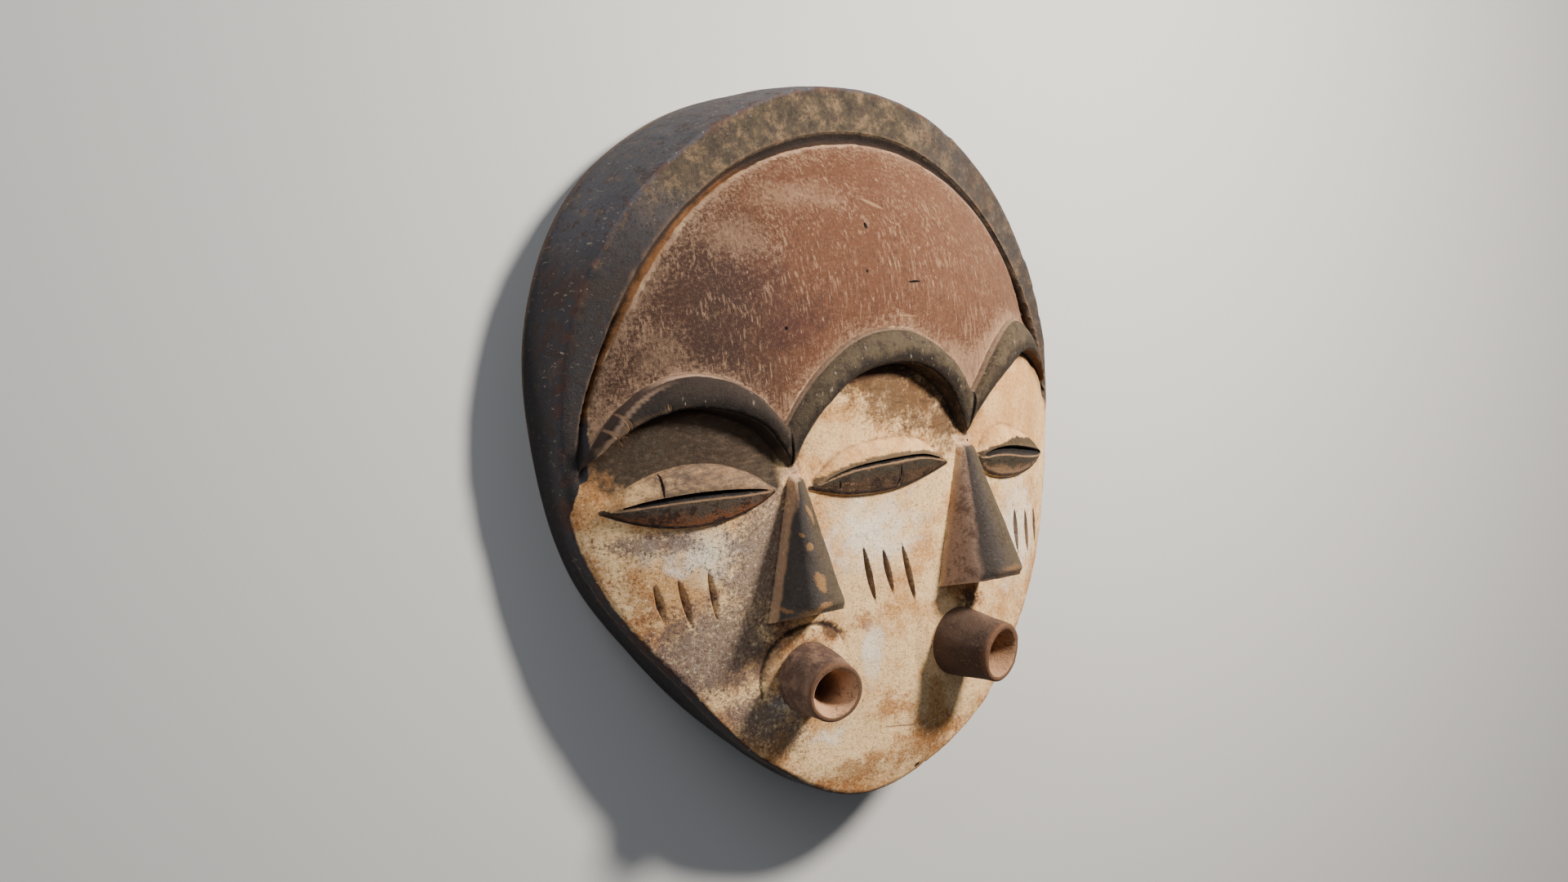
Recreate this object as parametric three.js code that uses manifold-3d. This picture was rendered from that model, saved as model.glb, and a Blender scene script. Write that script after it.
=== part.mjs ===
// A carved wooden face mask with three eyes, two noses and two tubular mouths, hollowed behind.
// It lies on its flat rim, face up. Millimetres: +Y to the crown, +Z out of the face, +X to the
// viewer's right. The origin is on the rim plane, under the middle of the mask's bounding box.
import * as THREE from "three";
import { mergeVertices } from "three/addons/utils/BufferGeometryUtils.js";
import Module from "manifold-3d";

// Plan: radii around the middle of the forehead's foot, one at each station from the crown
// (first) down one side to the chin (last). The other side mirrors them.
const MIDDLE_Y = 20;
const RIM_RADIUS = [155.5, 158, 161, 155.3, 146, 143.5, 141.8, 153.3, 174.5];
const EDGE_RADIUS = [156.6, 156.3, 157.6, 158, 156.8, 156, 156.2, 169.5, 181.5];
const BAND_RADIUS = [135, 136.1, 138, 142.4, 150.5, 151.5, 151.5, 164, 176];
const STEP_WIDTH = [6.3, 5.6, 4.2, 3.2, 3, 3, 3, 3, 3];
const EDGE_ROUND = [2, 2, 3, 5.5, 3.5, 2.5, 2, 2, 3];

// Heights above the rim plane.
const BAND_HEIGHT = [55, 54.2, 49.8, 44.5, 39];
const RIDGE_HEIGHT = [52.5, 51, 44.5, 40, 37.5];
const BAND_END = [84, 100]; // degrees from the crown over which the band runs out
const FACE_HEIGHT = 77.5; // the face plane at y = 0
const FACE_TILT = 0.148; // its rise towards the crown
const SIDE_DROP = 46.5; // how far the face curves back at its edge
const DROP_POWER = 3.5;
const CHEEK_HALF_WIDTH = 157; // where the cheeks have dropped by SIDE_DROP
const FOREHEAD_HALF_WIDTH = 141;
const FOREHEAD_LENGTH = 128.7;
const CHIN_ROUND = 3.5;

// Hollow back.
const WALL_RINGS = [0.4, 0.75]; // shares of the way down the wall
const RIM_WIDTH = 15;
const FACE_THICKNESS = 20;
const HOLLOW_POWER = 8;
const WALL_BULGE = 1.5;

// Brows: arches whose lower edge stands proud over a sunk socket.
const BROW_HEIGHT = 8.5;
const BROW_END_HEIGHT = 3.5;
const BROW_RUN_OUT = { root: 0.3, middle: 0.3, side: 0.24 }; // shares of a brow's length over which it sinks
const SOCKET_DEPTH = 3;
const MIDDLE_BROW = {
  upper: [[-59.5, 21], [-49, 37.5], [-35, 50.5], [-18, 59], [0, 61.5]],
  lower: [[-52, 1], [-50.5, 20], [-40, 31], [-21, 41.8], [0, 45]],
};
const SIDE_BROW = {
  upper: [
    [56.5, 21.5], [64, 29], [75, 41], [90, 50.5], [105, 53.7], [119, 50.5], [133, 40.5], [144, 27], [152, 12],
  ],
  lower: [
    [58, 1], [64, 12], [75, 25], [91, 34.5], [107, 38.5], [124, 35.5], [139, 27], [149, 16.5], [154, 7],
  ],
};

// Eyes: a lens with an upper and a lower lid that meet at a long narrow slit.
const LID_HEIGHT = 6;
const LID_FOOT = 2;
const LID_MEETING = 0.42; // where the slit lies, from the upper crease to the lower edge
const SLIT_DEPTH = 6;
const SLIT_WIDTH = 2.6;
const LEFT_EYE = {
  crease: [[-64, -5], [-78, 4.5], [-96, 11.3], [-114, 12.4], [-131, 6.8], [-145, -5]],
  under: [[-64, -5], [-77, -11], [-94, -15.3], [-113, -15.8], [-131, -12], [-145, -5]],
};
const MIDDLE_EYE = {
  crease: [[-47, -7.5], [-26, 6.5], [0, 9.8], [26, 6.5], [47, -7.5]],
  under: [[-47, -7.5], [-24, -13.5], [0, -15.8], [24, -13.5], [47, -7.5]],
};
const RIGHT_EYE = {
  crease: [[64, -6.5], [73, 4.5], [85, 6], [99, -0.5], [115, -10], [133, -19.5]],
  under: [[64, -6.5], [72, -18], [85, -22.5], [100, -24.3], [117, -24.5], [133, -19.5]],
};

// Noses: wedges that widen and rise from the brows' meeting to the tip.
const NOSE_X = 54;
const NOSE_ROOT_Y = 3;
const NOSE_FOOT_Y = -67.5;
const NOSE_TIP_Y = -61.5;
const NOSE_TIP_HEIGHT = 97.5;
const NOSE_LEAN = [1, 4.5]; // how far the bridge leans outward, at the root, at the foot
const NOSE_FOOT_HALF = [3.5, 15.4];
const NOSE_BRIDGE_HALF = [2.6, 8];
const NOSE_ROUND = 3.2;

// Mouths: short tapered tubes with a conical bore, each in a low swelling of the cheek.
const MOUTH = { x: 48, y: -95, splay: 12.5, droop: 13, length: 29.5 };
const MOUTH_RADIUS = [16.6, 14.4]; // at the cheek, at the lip
const BORE_RADIUS = [3.2, 11.6]; // at its floor, at the lip
const BORE_DEPTH = 22;
const SWELLING_RADIUS = 24;
const SWELLING_HEIGHT = 2.6;

// Scars: three cuts in each cheek and three between the noses, all leaning the same way.
const SCAR = { top: -39, length: 25, width: 3.6, depth: 2.2, spacing: 11.6 };
const SCAR_GROUPS = [
  { x: -112, lean: 5.5 },
  { x: 1, lean: 9 },
  { x: 108, lean: 5.5 },
];

const AROUND = 80; // facets round the plan
const FACE_RINGS = [0.3, 0.53, 0.68, 0.78, 0.86, 0.93, 1]; // shares of the way out to the step
const HOLLOW_RINGS = 6;
const EMBED = 9; // how far an added form reaches down into the wood
const CLEAR = 25; // how far a cutting form reaches up out of it
const PROUD = 0.7; // least height of an added form's edge over the face

const wasm = await Module();
wasm.setup();

const mix = (a, b, t) => a + (b - a) * t;
const smooth = (t) => {
  const k = Math.min(1, Math.max(0, t));
  return k * k * (3 - 2 * k);
};

// Smooth curve through evenly spaced values, mirrored at both ends; t runs over the intervals.
function through(values, t) {
  const last = values.length - 1;
  const i = Math.min(last - 1, Math.max(0, Math.floor(t)));
  const f = t - i;
  const at = (k) => values[Math.abs(k > last ? 2 * last - k : k)];
  const [a, b, c, d] = [at(i - 1), at(i), at(i + 1), at(i + 2)];
  return b + 0.5 * f * (c - a + f * (2 * a - 5 * b + 4 * c - d + f * (3 * (b - c) + d - a)));
}

// A value at an angle from the crown, in radians, from the list of stations.
const STATIONS = RIM_RADIUS.length - 1;
const station = (values, angle) => through(values, Math.min((angle / Math.PI) * STATIONS, values.length - 1));

// Open smooth curve through plan points; s runs from 0 to 1.
function along(points, s) {
  const last = points.length - 1;
  const t = s * last;
  const i = Math.min(last - 1, Math.floor(t));
  const f = t - i;
  const at = (k) => points[Math.min(last, Math.max(0, k))];
  const [a, b, c, d] = [at(i - 1), at(i), at(i + 1), at(i + 2)];
  return [0, 1].map(
    (n) => b[n] + 0.5 * f * (c[n] - a[n] + f * (2 * a[n] - 5 * b[n] + 4 * c[n] - d[n]
      + f * (3 * (b[n] - c[n]) + d[n] - a[n]))),
  );
}

// A half curve that ends on the middle line, carried on to its mirror image.
const mirrored = (half) => [...half, ...half.slice(0, -1).reverse().map(([x, y]) => [-x, y])];
const otherSide = (points) => points.map(([x, y]) => [-x, y]);

// The plain face: a tilted plane that curves back towards the sides, the crown and the chin.
function faceHeight(x, y) {
  const halfWidth = mix(CHEEK_HALF_WIDTH, FOREHEAD_HALF_WIDTH, smooth((y - 5) / 50));
  const out = Math.hypot(x / halfWidth, Math.max(y - MIDDLE_Y, 0) / FOREHEAD_LENGTH);
  const chin = CHIN_ROUND * smooth((-y - 140) / 20);
  return FACE_HEIGHT + FACE_TILT * y - SIDE_DROP * out ** DROP_POWER - chin;
}

const planPoint = (angle, radius) => [radius * Math.sin(angle), MIDDLE_Y + radius * Math.cos(angle)];
const fromCrown = (angle) => Math.acos(Math.cos(angle));
const bandShare = (angle) => 1 - smooth(
  (THREE.MathUtils.radToDeg(fromCrown(angle)) - BAND_END[0]) / (BAND_END[1] - BAND_END[0]),
);

// Outer rings from the middle of the face to the rim, as [radius, height] at an angle.
function faceRings(angle) {
  const a = fromCrown(angle);
  const band = station(BAND_RADIUS, a);
  const foot = band - station(STEP_WIDTH, a);
  const edge = station(EDGE_RADIUS, a);
  const rim = station(RIM_RADIUS, a);
  const round = station(EDGE_ROUND, a);
  const banded = bandShare(angle);
  const plain = (radius) => faceHeight(...planPoint(angle, radius));
  const bandTop = mix(plain(band), station(BAND_HEIGHT, Math.min(a, Math.PI / 2)), banded);
  const edgeTop = mix(plain(edge), station(RIDGE_HEIGHT, Math.min(a, Math.PI / 2)), banded);
  const shoulder = mix(edgeTop, bandTop, round / (edge - band));
  const rings = [];
  for (const share of FACE_RINGS) rings.push([foot * share, plain(foot * share)]);
  rings.push([band, bandTop], [edge - round, shoulder]);
  rings.push([edge - 0.3 * round, edgeTop - 0.25 * round], [edge, edgeTop - round]);
  const brow = edgeTop - round;
  for (const t of WALL_RINGS) {
    rings.push([mix(edge, rim, t) + WALL_BULGE * Math.sin(Math.PI * t), brow * (1 - t)]);
  }
  rings.push([rim, 0]);
  return rings;
}

// Rings of the hollow, from the inner edge of the rim up to the middle of its ceiling.
function hollowRings(angle) {
  const rim = station(RIM_RADIUS, fromCrown(angle)) - RIM_WIDTH;
  const rings = [[rim, 0]];
  for (let i = 1; i < HOLLOW_RINGS; i++) {
    const share = Math.cos((i / HOLLOW_RINGS) * (Math.PI / 2)) ** 0.35 * (1 - (i / HOLLOW_RINGS) ** 3);
    rings.push([rim * share, hollowHeight(angle, rim * share, rim)]);
  }
  return rings;
}

function hollowHeight(angle, radius, rim) {
  const ceiling = faceHeight(...planPoint(angle, radius)) - FACE_THICKNESS;
  return ceiling * Math.sqrt(1 - (radius / rim) ** HOLLOW_POWER);
}

// Closed solid from loops of equal length, with a point at each end.
function loopSolid(first, loops, last) {
  const size = loops[0].length;
  const points = [first, ...loops.flat(), last];
  const faces = [];
  const at = (loop, i) => 1 + loop * size + (i % size);
  for (let i = 0; i < size; i++) {
    faces.push(0, at(0, i + 1), at(0, i));
    for (let k = 0; k + 1 < loops.length; k++) {
      faces.push(at(k, i), at(k, i + 1), at(k + 1, i));
      faces.push(at(k, i + 1), at(k + 1, i + 1), at(k + 1, i));
    }
    faces.push(at(loops.length - 1, i), at(loops.length - 1, i + 1), points.length - 1);
  }
  return solid(points, faces);
}

// Vertices and faces to a solid, whichever way round its faces were listed.
function solid(points, faces) {
  const geometry = new THREE.BufferGeometry();
  geometry.setAttribute("position", new THREE.Float32BufferAttribute(points.flat(), 3));
  geometry.setIndex(faces);
  const made = fromGeometry(geometry);
  return made.volume() < 0 ? fromGeometry(geometry.setIndex(reversed(faces))) : made;
}

function fromGeometry(geometry) {
  const bare = geometry.clone();
  bare.deleteAttribute("normal");
  bare.deleteAttribute("uv");
  const merged = mergeVertices(bare, 1e-3);
  const kept = [];
  const index = merged.index.array;
  for (let i = 0; i < index.length; i += 3) {
    const [a, b, c] = index.slice(i, i + 3);
    if (a !== b && b !== c && c !== a) kept.push(a, b, c);
  }
  return new wasm.Manifold(new wasm.Mesh({
    numProp: 3,
    vertProperties: merged.attributes.position.array,
    triVerts: new Uint32Array(kept),
  }));
}

// The body: face, band, wall, flat rim and hollow, as one ring after another.
function bodySolid() {
  const angles = Array.from({ length: AROUND }, (_, i) => (2 * Math.PI * i) / AROUND);
  const columns = angles.map((angle) =>
    [...faceRings(angle), ...hollowRings(angle)].map(([radius, height]) => [
      ...planPoint(angle, radius), height,
    ]));
  const loops = columns[0].map((_, ring) => columns.map((column) => column[ring]));
  const top = [0, MIDDLE_Y, faceHeight(0, MIDDLE_Y)];
  const ceiling = [0, MIDDLE_Y, faceHeight(0, MIDDLE_Y) - FACE_THICKNESS];
  return loopSolid(top, loops, ceiling);
}

// A block draped over the face: a grid of plan points with a top and a bottom height.
function draped(rows, columns, plan, top, bottom) {
  const points = [];
  for (const height of [top, bottom]) {
    for (let i = 0; i <= rows; i++) {
      for (let j = 0; j <= columns; j++) {
        const [x, y] = plan(i / rows, j / columns);
        points.push([x, y, height(x, y, i / rows, j / columns)]);
      }
    }
  }
  const layer = (rows + 1) * (columns + 1);
  const at = (i, j, under) => under * layer + i * (columns + 1) + j;
  const faces = [];
  const quad = (a, b, c, d) => faces.push(a, b, c, a, c, d);
  for (let i = 0; i < rows; i++) {
    for (let j = 0; j < columns; j++) {
      quad(at(i, j, 0), at(i + 1, j, 0), at(i + 1, j + 1, 0), at(i, j + 1, 0));
      quad(at(i, j, 1), at(i, j + 1, 1), at(i + 1, j + 1, 1), at(i + 1, j, 1));
    }
    quad(at(i, 0, 0), at(i, 0, 1), at(i + 1, 0, 1), at(i + 1, 0, 0));
    quad(at(i, columns, 0), at(i + 1, columns, 0), at(i + 1, columns, 1), at(i, columns, 1));
  }
  for (let j = 0; j < columns; j++) {
    quad(at(0, j, 0), at(0, j + 1, 0), at(0, j + 1, 1), at(0, j, 1));
    quad(at(rows, j, 0), at(rows, j, 1), at(rows, j + 1, 1), at(rows, j + 1, 0));
  }
  return solid(points, faces);
}

function reversed(faces) {
  const turned = [...faces];
  for (let i = 0; i < turned.length; i += 3) [turned[i + 1], turned[i + 2]] = [faces[i + 2], faces[i + 1]];
  return turned;
}

const under = (x, y) => faceHeight(x, y) - EMBED;
const above = (x, y) => faceHeight(x, y) + CLEAR;
const between = (one, other) => (s, w) => {
  const [a, b] = [along(one, s), along(other, s)];
  return [mix(a[0], b[0], w), mix(a[1], b[1], w)];
};

const browSwell = (w) => Math.sin(0.62 * Math.PI * w ** 0.75);

// A brow swells from its upper line to its proud lower edge, and sinks towards its ends.
function browSolid(upper, lower, ends) {
  const full = (s) => smooth(Math.min(s / BROW_RUN_OUT.root, (1 - s) / ends));
  const rise = (s) => mix(BROW_END_HEIGHT, BROW_HEIGHT, full(s));
  const top = (x, y, s, w) => faceHeight(x, y) + PROUD + (rise(s) - PROUD) * browSwell(w);
  return draped(20, 4, between(upper, lower), top, under);
}

// The socket sunk between a brow and the crease over the eye. It runs on under both.
function socketCut(upper, lower, crease, edge) {
  const [brow, lids] = [between(upper, lower), between(crease, edge)];
  const plan = (s, w) => {
    const [a, b] = [brow(s, 0.6), lids(s, 0.25)];
    return [mix(a[0], b[0], w), mix(a[1], b[1], w)];
  };
  const floor = (x, y, s, w) => faceHeight(x, y)
    + mix(1.5, -SOCKET_DEPTH * (1 - 0.5 * w), smooth(Math.min(s, 1 - s) / 0.12));
  return draped(20, 3, plan, above, floor);
}

function lidsSolid(crease, lowerEdge) {
  const top = (x, y, s, w) => {
    const full = Math.sin(Math.PI * s) ** 0.6;
    const upperLid = Math.sin((Math.PI / 2) * Math.min(1, w / LID_MEETING)) * LID_HEIGHT - PROUD;
    const lowerLid = mix(LID_HEIGHT - PROUD, LID_FOOT, ((w - LID_MEETING) / (1 - LID_MEETING)) ** 1.4);
    return faceHeight(x, y) + PROUD + full * (w < LID_MEETING ? upperLid : lowerLid);
  };
  return draped(16, 6, between(crease, lowerEdge), top, under);
}

function slitCut(crease, lowerEdge) {
  const line = between(crease, lowerEdge);
  const plan = (s, w) => {
    const [x, y] = line(mix(0.08, 0.92, s), LID_MEETING);
    return [x, y + (w - 0.5) * SLIT_WIDTH * Math.sin(Math.PI * s)];
  };
  const floor = (x, y, s, w) => faceHeight(x, y) + LID_HEIGHT + PROUD
    - SLIT_DEPTH * Math.sin(Math.PI * s) ** 0.5 * (1 - 2 * Math.abs(w - 0.5));
  return draped(10, 2, plan, above, floor);
}

// A nose in cross-sections from root to foot; its foot face leans back to the cheek.
function noseSolid(side) {
  const steps = 6;
  const x = side * NOSE_X;
  const sections = [];
  for (let i = 0; i <= steps; i++) {
    const t = i / steps;
    const foot = mix(...NOSE_FOOT_HALF, t);
    const bridge = mix(...NOSE_BRIDGE_HALF, t);
    const lean = side * mix(...NOSE_LEAN, t);
    const footY = mix(NOSE_ROOT_Y, NOSE_FOOT_Y, t);
    const bridgeY = mix(NOSE_ROOT_Y, NOSE_TIP_Y, t);
    const cheek = faceHeight(x, footY);
    const crest = mix(faceHeight(x, NOSE_ROOT_Y) + BROW_END_HEIGHT, NOSE_TIP_HEIGHT, t);
    const round = NOSE_ROUND * mix(0.4, 1, t);
    const flank = (turn) => [
      [x + turn * foot, footY, cheek - EMBED],
      [x + turn * foot, footY, cheek],
      [x + lean + turn * (bridge + 0.25 * round), bridgeY, crest - 1.4 * round],
      [x + lean + turn * (bridge - 0.5 * round), bridgeY + 0.2, crest - 0.35 * round],
    ];
    sections.push([...flank(1), [x + lean, bridgeY + 0.3, crest], ...flank(-1).reverse()]);
  }
  const middle = (section) => [x, section[0][1], section[0][2] + 1];
  return loopSolid(middle(sections[0]), sections, middle(sections[steps]));
}

// Something turned round the mouth's axis, set on the cheek.
function turned(profile, side, sides) {
  const geometry = new THREE.LatheGeometry(profile.map(([r, h]) => new THREE.Vector2(r, h)), sides);
  const axis = new THREE.Vector3(
    side * Math.tan(THREE.MathUtils.degToRad(MOUTH.splay)),
    -Math.tan(THREE.MathUtils.degToRad(MOUTH.droop)),
    1,
  ).normalize();
  geometry.applyQuaternion(new THREE.Quaternion().setFromUnitVectors(new THREE.Vector3(0, 1, 0), axis));
  geometry.translate(side * MOUTH.x, MOUTH.y, faceHeight(MOUTH.x, MOUTH.y));
  return fromGeometry(geometry);
}

const mouthTube = (side) => {
  const [foot, lip] = MOUTH_RADIUS;
  const { length } = MOUTH;
  return turned([[0, -EMBED], [foot, -EMBED], [foot, 0.3 * length], [mix(foot, lip, 0.7), 0.75 * length],
    [lip, length - 1.5], [lip - 1.2, length], [0, length]], side, 28);
};
const mouthBore = (side) => {
  const [floor, lip] = BORE_RADIUS;
  const { length } = MOUTH;
  return turned([[0, length - BORE_DEPTH], [floor, length - BORE_DEPTH], [mix(floor, lip, 0.65), length - 7],
    [lip, length + 0.4], [0, length + 0.4]], side, 28);
};
const mouthSwelling = (side) => {
  const r = SWELLING_RADIUS;
  return turned([[0, -EMBED], [r, -EMBED], [r, -0.5], [0.94 * r, SWELLING_HEIGHT - 0.8],
    [0.8 * r, SWELLING_HEIGHT], [0, SWELLING_HEIGHT]], side, 32);
};

// A cut like a boat in plan, deepest along its keel.
function scarCut(x, lean) {
  const plan = (s, w) => [
    x + lean * s + (w - 0.5) * SCAR.width * Math.sin(Math.PI * s),
    SCAR.top - SCAR.length * s,
  ];
  const keel = (px, py, s, w) => faceHeight(px, py) + PROUD
    - (SCAR.depth + PROUD) * (1 - 2 * Math.abs(w - 0.5)) * Math.sin(Math.PI * s) ** 0.6;
  return draped(6, 2, plan, above, keel);
}

const middleUpper = mirrored(MIDDLE_BROW.upper);
const middleLower = mirrored(MIDDLE_BROW.lower);
const { crease: middleCrease, under: middleUnder } = MIDDLE_EYE;

function carvedMask() {
  const body = bodySolid();
  const added = [
    browSolid(middleUpper, middleLower, BROW_RUN_OUT.middle),
    lidsSolid(middleCrease, middleUnder),
  ];
  const sockets = [socketCut(middleUpper, middleLower, middleCrease, middleUnder)];
  const cuts = [slitCut(middleCrease, middleUnder)];
  for (const side of [-1, 1]) {
    const place = (points) => (side > 0 ? points : otherSide(points));
    const [upper, lower] = [place(SIDE_BROW.upper), place(SIDE_BROW.lower)];
    const { crease, under: lowerEdge } = side > 0 ? RIGHT_EYE : LEFT_EYE;
    added.push(
      browSolid(upper, lower, BROW_RUN_OUT.side),
      lidsSolid(crease, lowerEdge),
      noseSolid(side),
      mouthSwelling(side),
      mouthTube(side),
    );
    sockets.push(socketCut(upper, lower, crease, lowerEdge));
    cuts.push(slitCut(crease, lowerEdge), mouthBore(side));
  }
  for (const { x, lean } of SCAR_GROUPS) {
    for (const k of [-1, 0, 1]) cuts.push(scarCut(x + k * SCAR.spacing, lean));
  }
  const sunk = sockets.reduce((wood, cut) => wood.subtract(cut), body);
  const raised = added.reduce((wood, form) => wood.add(form), sunk);
  const carved = cuts.reduce((wood, cut) => wood.subtract(cut), raised);
  const { min, max } = carved.boundingBox();
  return carved.translate([-(min[0] + max[0]) / 2, -(min[1] + max[1]) / 2, -min[2]]);
}

function toMesh(wood, name, material) {
  const made = wood.getMesh();
  const stride = made.numProp;
  const positions = new Float32Array(made.numVert * 3);
  for (let i = 0; i < made.numVert; i++) {
    positions.set(made.vertProperties.subarray(i * stride, i * stride + 3), i * 3);
  }
  const geometry = new THREE.BufferGeometry();
  geometry.setAttribute("position", new THREE.BufferAttribute(positions, 3));
  geometry.setIndex(new THREE.BufferAttribute(made.triVerts, 1));
  geometry.computeVertexNormals();
  const mesh = new THREE.Mesh(geometry, material);
  mesh.name = name;
  return mesh;
}

const paintedWood = new THREE.MeshStandardMaterial({ color: 0x9a7a5e, roughness: 0.85, metalness: 0 });
const mask = new THREE.Group();
mask.add(toMesh(carvedMask(), "mask", paintedWood));

export default mask;
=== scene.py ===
import math

import bmesh
import bpy
import numpy as np
from mathutils import Matrix, Vector, geometry, kdtree


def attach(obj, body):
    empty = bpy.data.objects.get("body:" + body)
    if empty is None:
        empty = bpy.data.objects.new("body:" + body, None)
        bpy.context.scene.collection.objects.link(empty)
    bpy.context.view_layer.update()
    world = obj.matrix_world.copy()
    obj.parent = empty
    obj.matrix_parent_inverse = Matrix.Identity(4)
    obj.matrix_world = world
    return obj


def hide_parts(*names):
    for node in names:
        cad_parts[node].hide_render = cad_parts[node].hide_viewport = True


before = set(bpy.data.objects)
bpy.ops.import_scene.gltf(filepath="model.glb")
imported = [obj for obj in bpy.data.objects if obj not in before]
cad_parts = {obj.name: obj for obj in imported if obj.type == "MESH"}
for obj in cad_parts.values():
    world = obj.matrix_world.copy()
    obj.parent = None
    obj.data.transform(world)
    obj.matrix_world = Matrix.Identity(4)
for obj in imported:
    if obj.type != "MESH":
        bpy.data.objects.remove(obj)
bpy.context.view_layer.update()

# The carving is worked out in millimetres in its own frame: x across the face, y towards the
# crown with 0 at the roots of the noses, z up from the plane of the rim.
MM = 0.001
BOX_MIDDLE_Y = 8.04  # the middle of the mask's box, in the carving's own y

# Plan: radii about the middle of the forehead's foot, at stations from the crown to the chin.
MIDDLE_Y = 20.0
RIM_RADIUS = [155.5, 158, 161, 155.3, 146, 143.5, 141.8, 153.3, 174.5]
EDGE_RADIUS = [156.6, 156.3, 157.6, 158, 156.8, 156, 156.2, 169.5, 181.5]
BAND_RADIUS = [135, 136.1, 138, 142.4, 150.5, 151.5, 151.5, 164, 176]
STEP_WIDTH = [6.3, 5.6, 4.2, 3.2, 3, 3, 3, 3, 3]
EDGE_ROUND = [2, 2, 3, 5.5, 3.5, 2.5, 2, 2, 3]
STATIONS = len(RIM_RADIUS) - 1

# Heights above the rim plane.
BAND_HEIGHT = [55, 54.2, 49.8, 44.5, 39]
RIDGE_HEIGHT = [52.5, 51, 44.5, 40, 37.5]
BAND_END = (84, 100)  # degrees from the crown over which the band runs out
JAW_START = (66, 80)  # degrees from the crown over which the step gives way to the outer edge
GROOVE_DEPTH = 1.6
GROOVE_FULLNESS = 0.8
STEP_STEEPNESS = 1.15
PANEL_RISE = 2.0
PANEL_FLAT = 18.0
PANEL_LEAST_FALL = 0.6
PANEL_DRAW_IN = 1.7
DRAW_IN_START = (22, 67)  # degrees from the crown over which it grows
FACE_HEIGHT = 77.5
FACE_TILT = 0.148
SIDE_DROP = 46.5
DROP_POWER = 3.5
CHEEK_HALF_WIDTH = 157.0
FOREHEAD_HALF_WIDTH = 141.0
TEMPLE_Y = (5, 55)  # over which the cheeks' width turns into the forehead's
FOREHEAD_LENGTH = 128.7
CHIN_ROUND = 3.5
BELOW_MOUTHS = (140, 160)  # how far down the chin rounds off
WALL_BULGE = 1.5
RIM_WIDTH = 15.0
FACE_THICKNESS = 20.0
HOLLOW_POWER = 8.0

# Brows, sockets and eyes, as points of smooth lines across the plan.
BROW_HEIGHT = 8.5
BROW_ROOT_HEIGHT = 3.5
BROW_TAIL_HEIGHT = 1.4
BROW_ROOT_RUN, BROW_END_RUN = 0.3, 5.0  # share from the root, and length at the very ends
BROW_TOP_SHARE, BROW_TOP_WIDTH = 0.24, 1.8  # the quick rise from the forehead
BROW_FOOT_DEPTH, BROW_FOOT_WIDTH = 1.1, 2.2  # the rounding along the foot
BEAD_HEIGHT, BEAD_AWAY = 0.45, 1.2  # a low bead on the forehead, along the brows
EDGE_CALM = 5.0  # how far from the face's edge the relief has its full height
TOUCHING = 0.05  # points this close to an outline count as on it
SOCKET_DEPTH, SOCKET_END_RUN = 3.0, 9.0
LEFT_BROW = {
    "upper": [[-60, 25], [-66, 31.5], [-75, 41], [-90, 50.5], [-105, 53.7],
              [-119, 50.5], [-133, 40.5], [-144, 27], [-152, 12]],
    "lower": [[-56.1, 4], [-62.5, 13.5], [-75, 26], [-91, 34.5], [-107, 38.5],
              [-124, 35.5], [-139, 27], [-149, 16.5], [-154, 7]],
    "run_out": 0.24, "tail": BROW_TAIL_HEIGHT,
}
MIDDLE_BROW = {
    "upper": [[-60, 25], [-49, 39], [-35, 50.5], [-18, 59], [0, 61.5],
              [18, 59], [35, 50.5], [49, 39], [60, 25]],
    "lower": [[-56.1, 4], [-50, 16.5], [-40, 29.5], [-21, 41.8], [0, 45],
              [21, 41.8], [40, 29.5], [50, 16.5], [56.1, 4]],
    "run_out": 0.3, "tail": BROW_ROOT_HEIGHT,
}
RIGHT_BROW = {
    "upper": [[-x, y] for x, y in LEFT_BROW["upper"]],
    "lower": [[-x, y] for x, y in LEFT_BROW["lower"]],
    "run_out": 0.45, "tail": 0.6,
}
LID_HEIGHT, LID_STEP = 6.0, 0.4  # the upper lid stands a little over the lower one
LID_FOOT, LID_START = 2.0, 0.7
LEFT_EYE = {
    "crease": [[-64, -5], [-78, 4.5], [-96, 11.3], [-114, 12.4], [-131, 6.8], [-145, -5]],
    "under": [[-64, -5], [-77, -11], [-94, -15.3], [-113, -15.8], [-131, -12], [-145, -5]],
    "meeting": 0.5, "slit": 3.6,
}
MIDDLE_EYE = {
    "crease": [[-47, -7.5], [-26, 6.5], [0, 9.8], [25, 6.5], [45, -7.5]],
    "under": [[-47, -7.5], [-24, -13.0], [0, -15.0], [23, -13.0], [45, -7.5]],
    "meeting": 0.42, "slit": 2.2,
}
RIGHT_EYE = {
    "crease": [[64, -8.5], [73, 2.8], [85, 5.2], [99, 1.2], [115, -5.8], [131, -15.5]],
    "under": [[64, -8.5], [72, -16.6], [85, -20.4], [100, -21.4], [116, -19.8], [131, -15.5]],
    "meeting": 0.5, "slit": 4.6,
}
SLIT_DEPTH = 3.6
SLIT_STRETCH = slice(7, 94)  # hundredths of an eye's length over which its slit is cut
KEEL_UP = 0.62  # how far the slit's deepest line lies towards its upper edge
PARTINGS = [((side * 60.0, 24.6), (side * 56.1, 2.6), 1.7, 1.6) for side in (-1, 1)]

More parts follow.
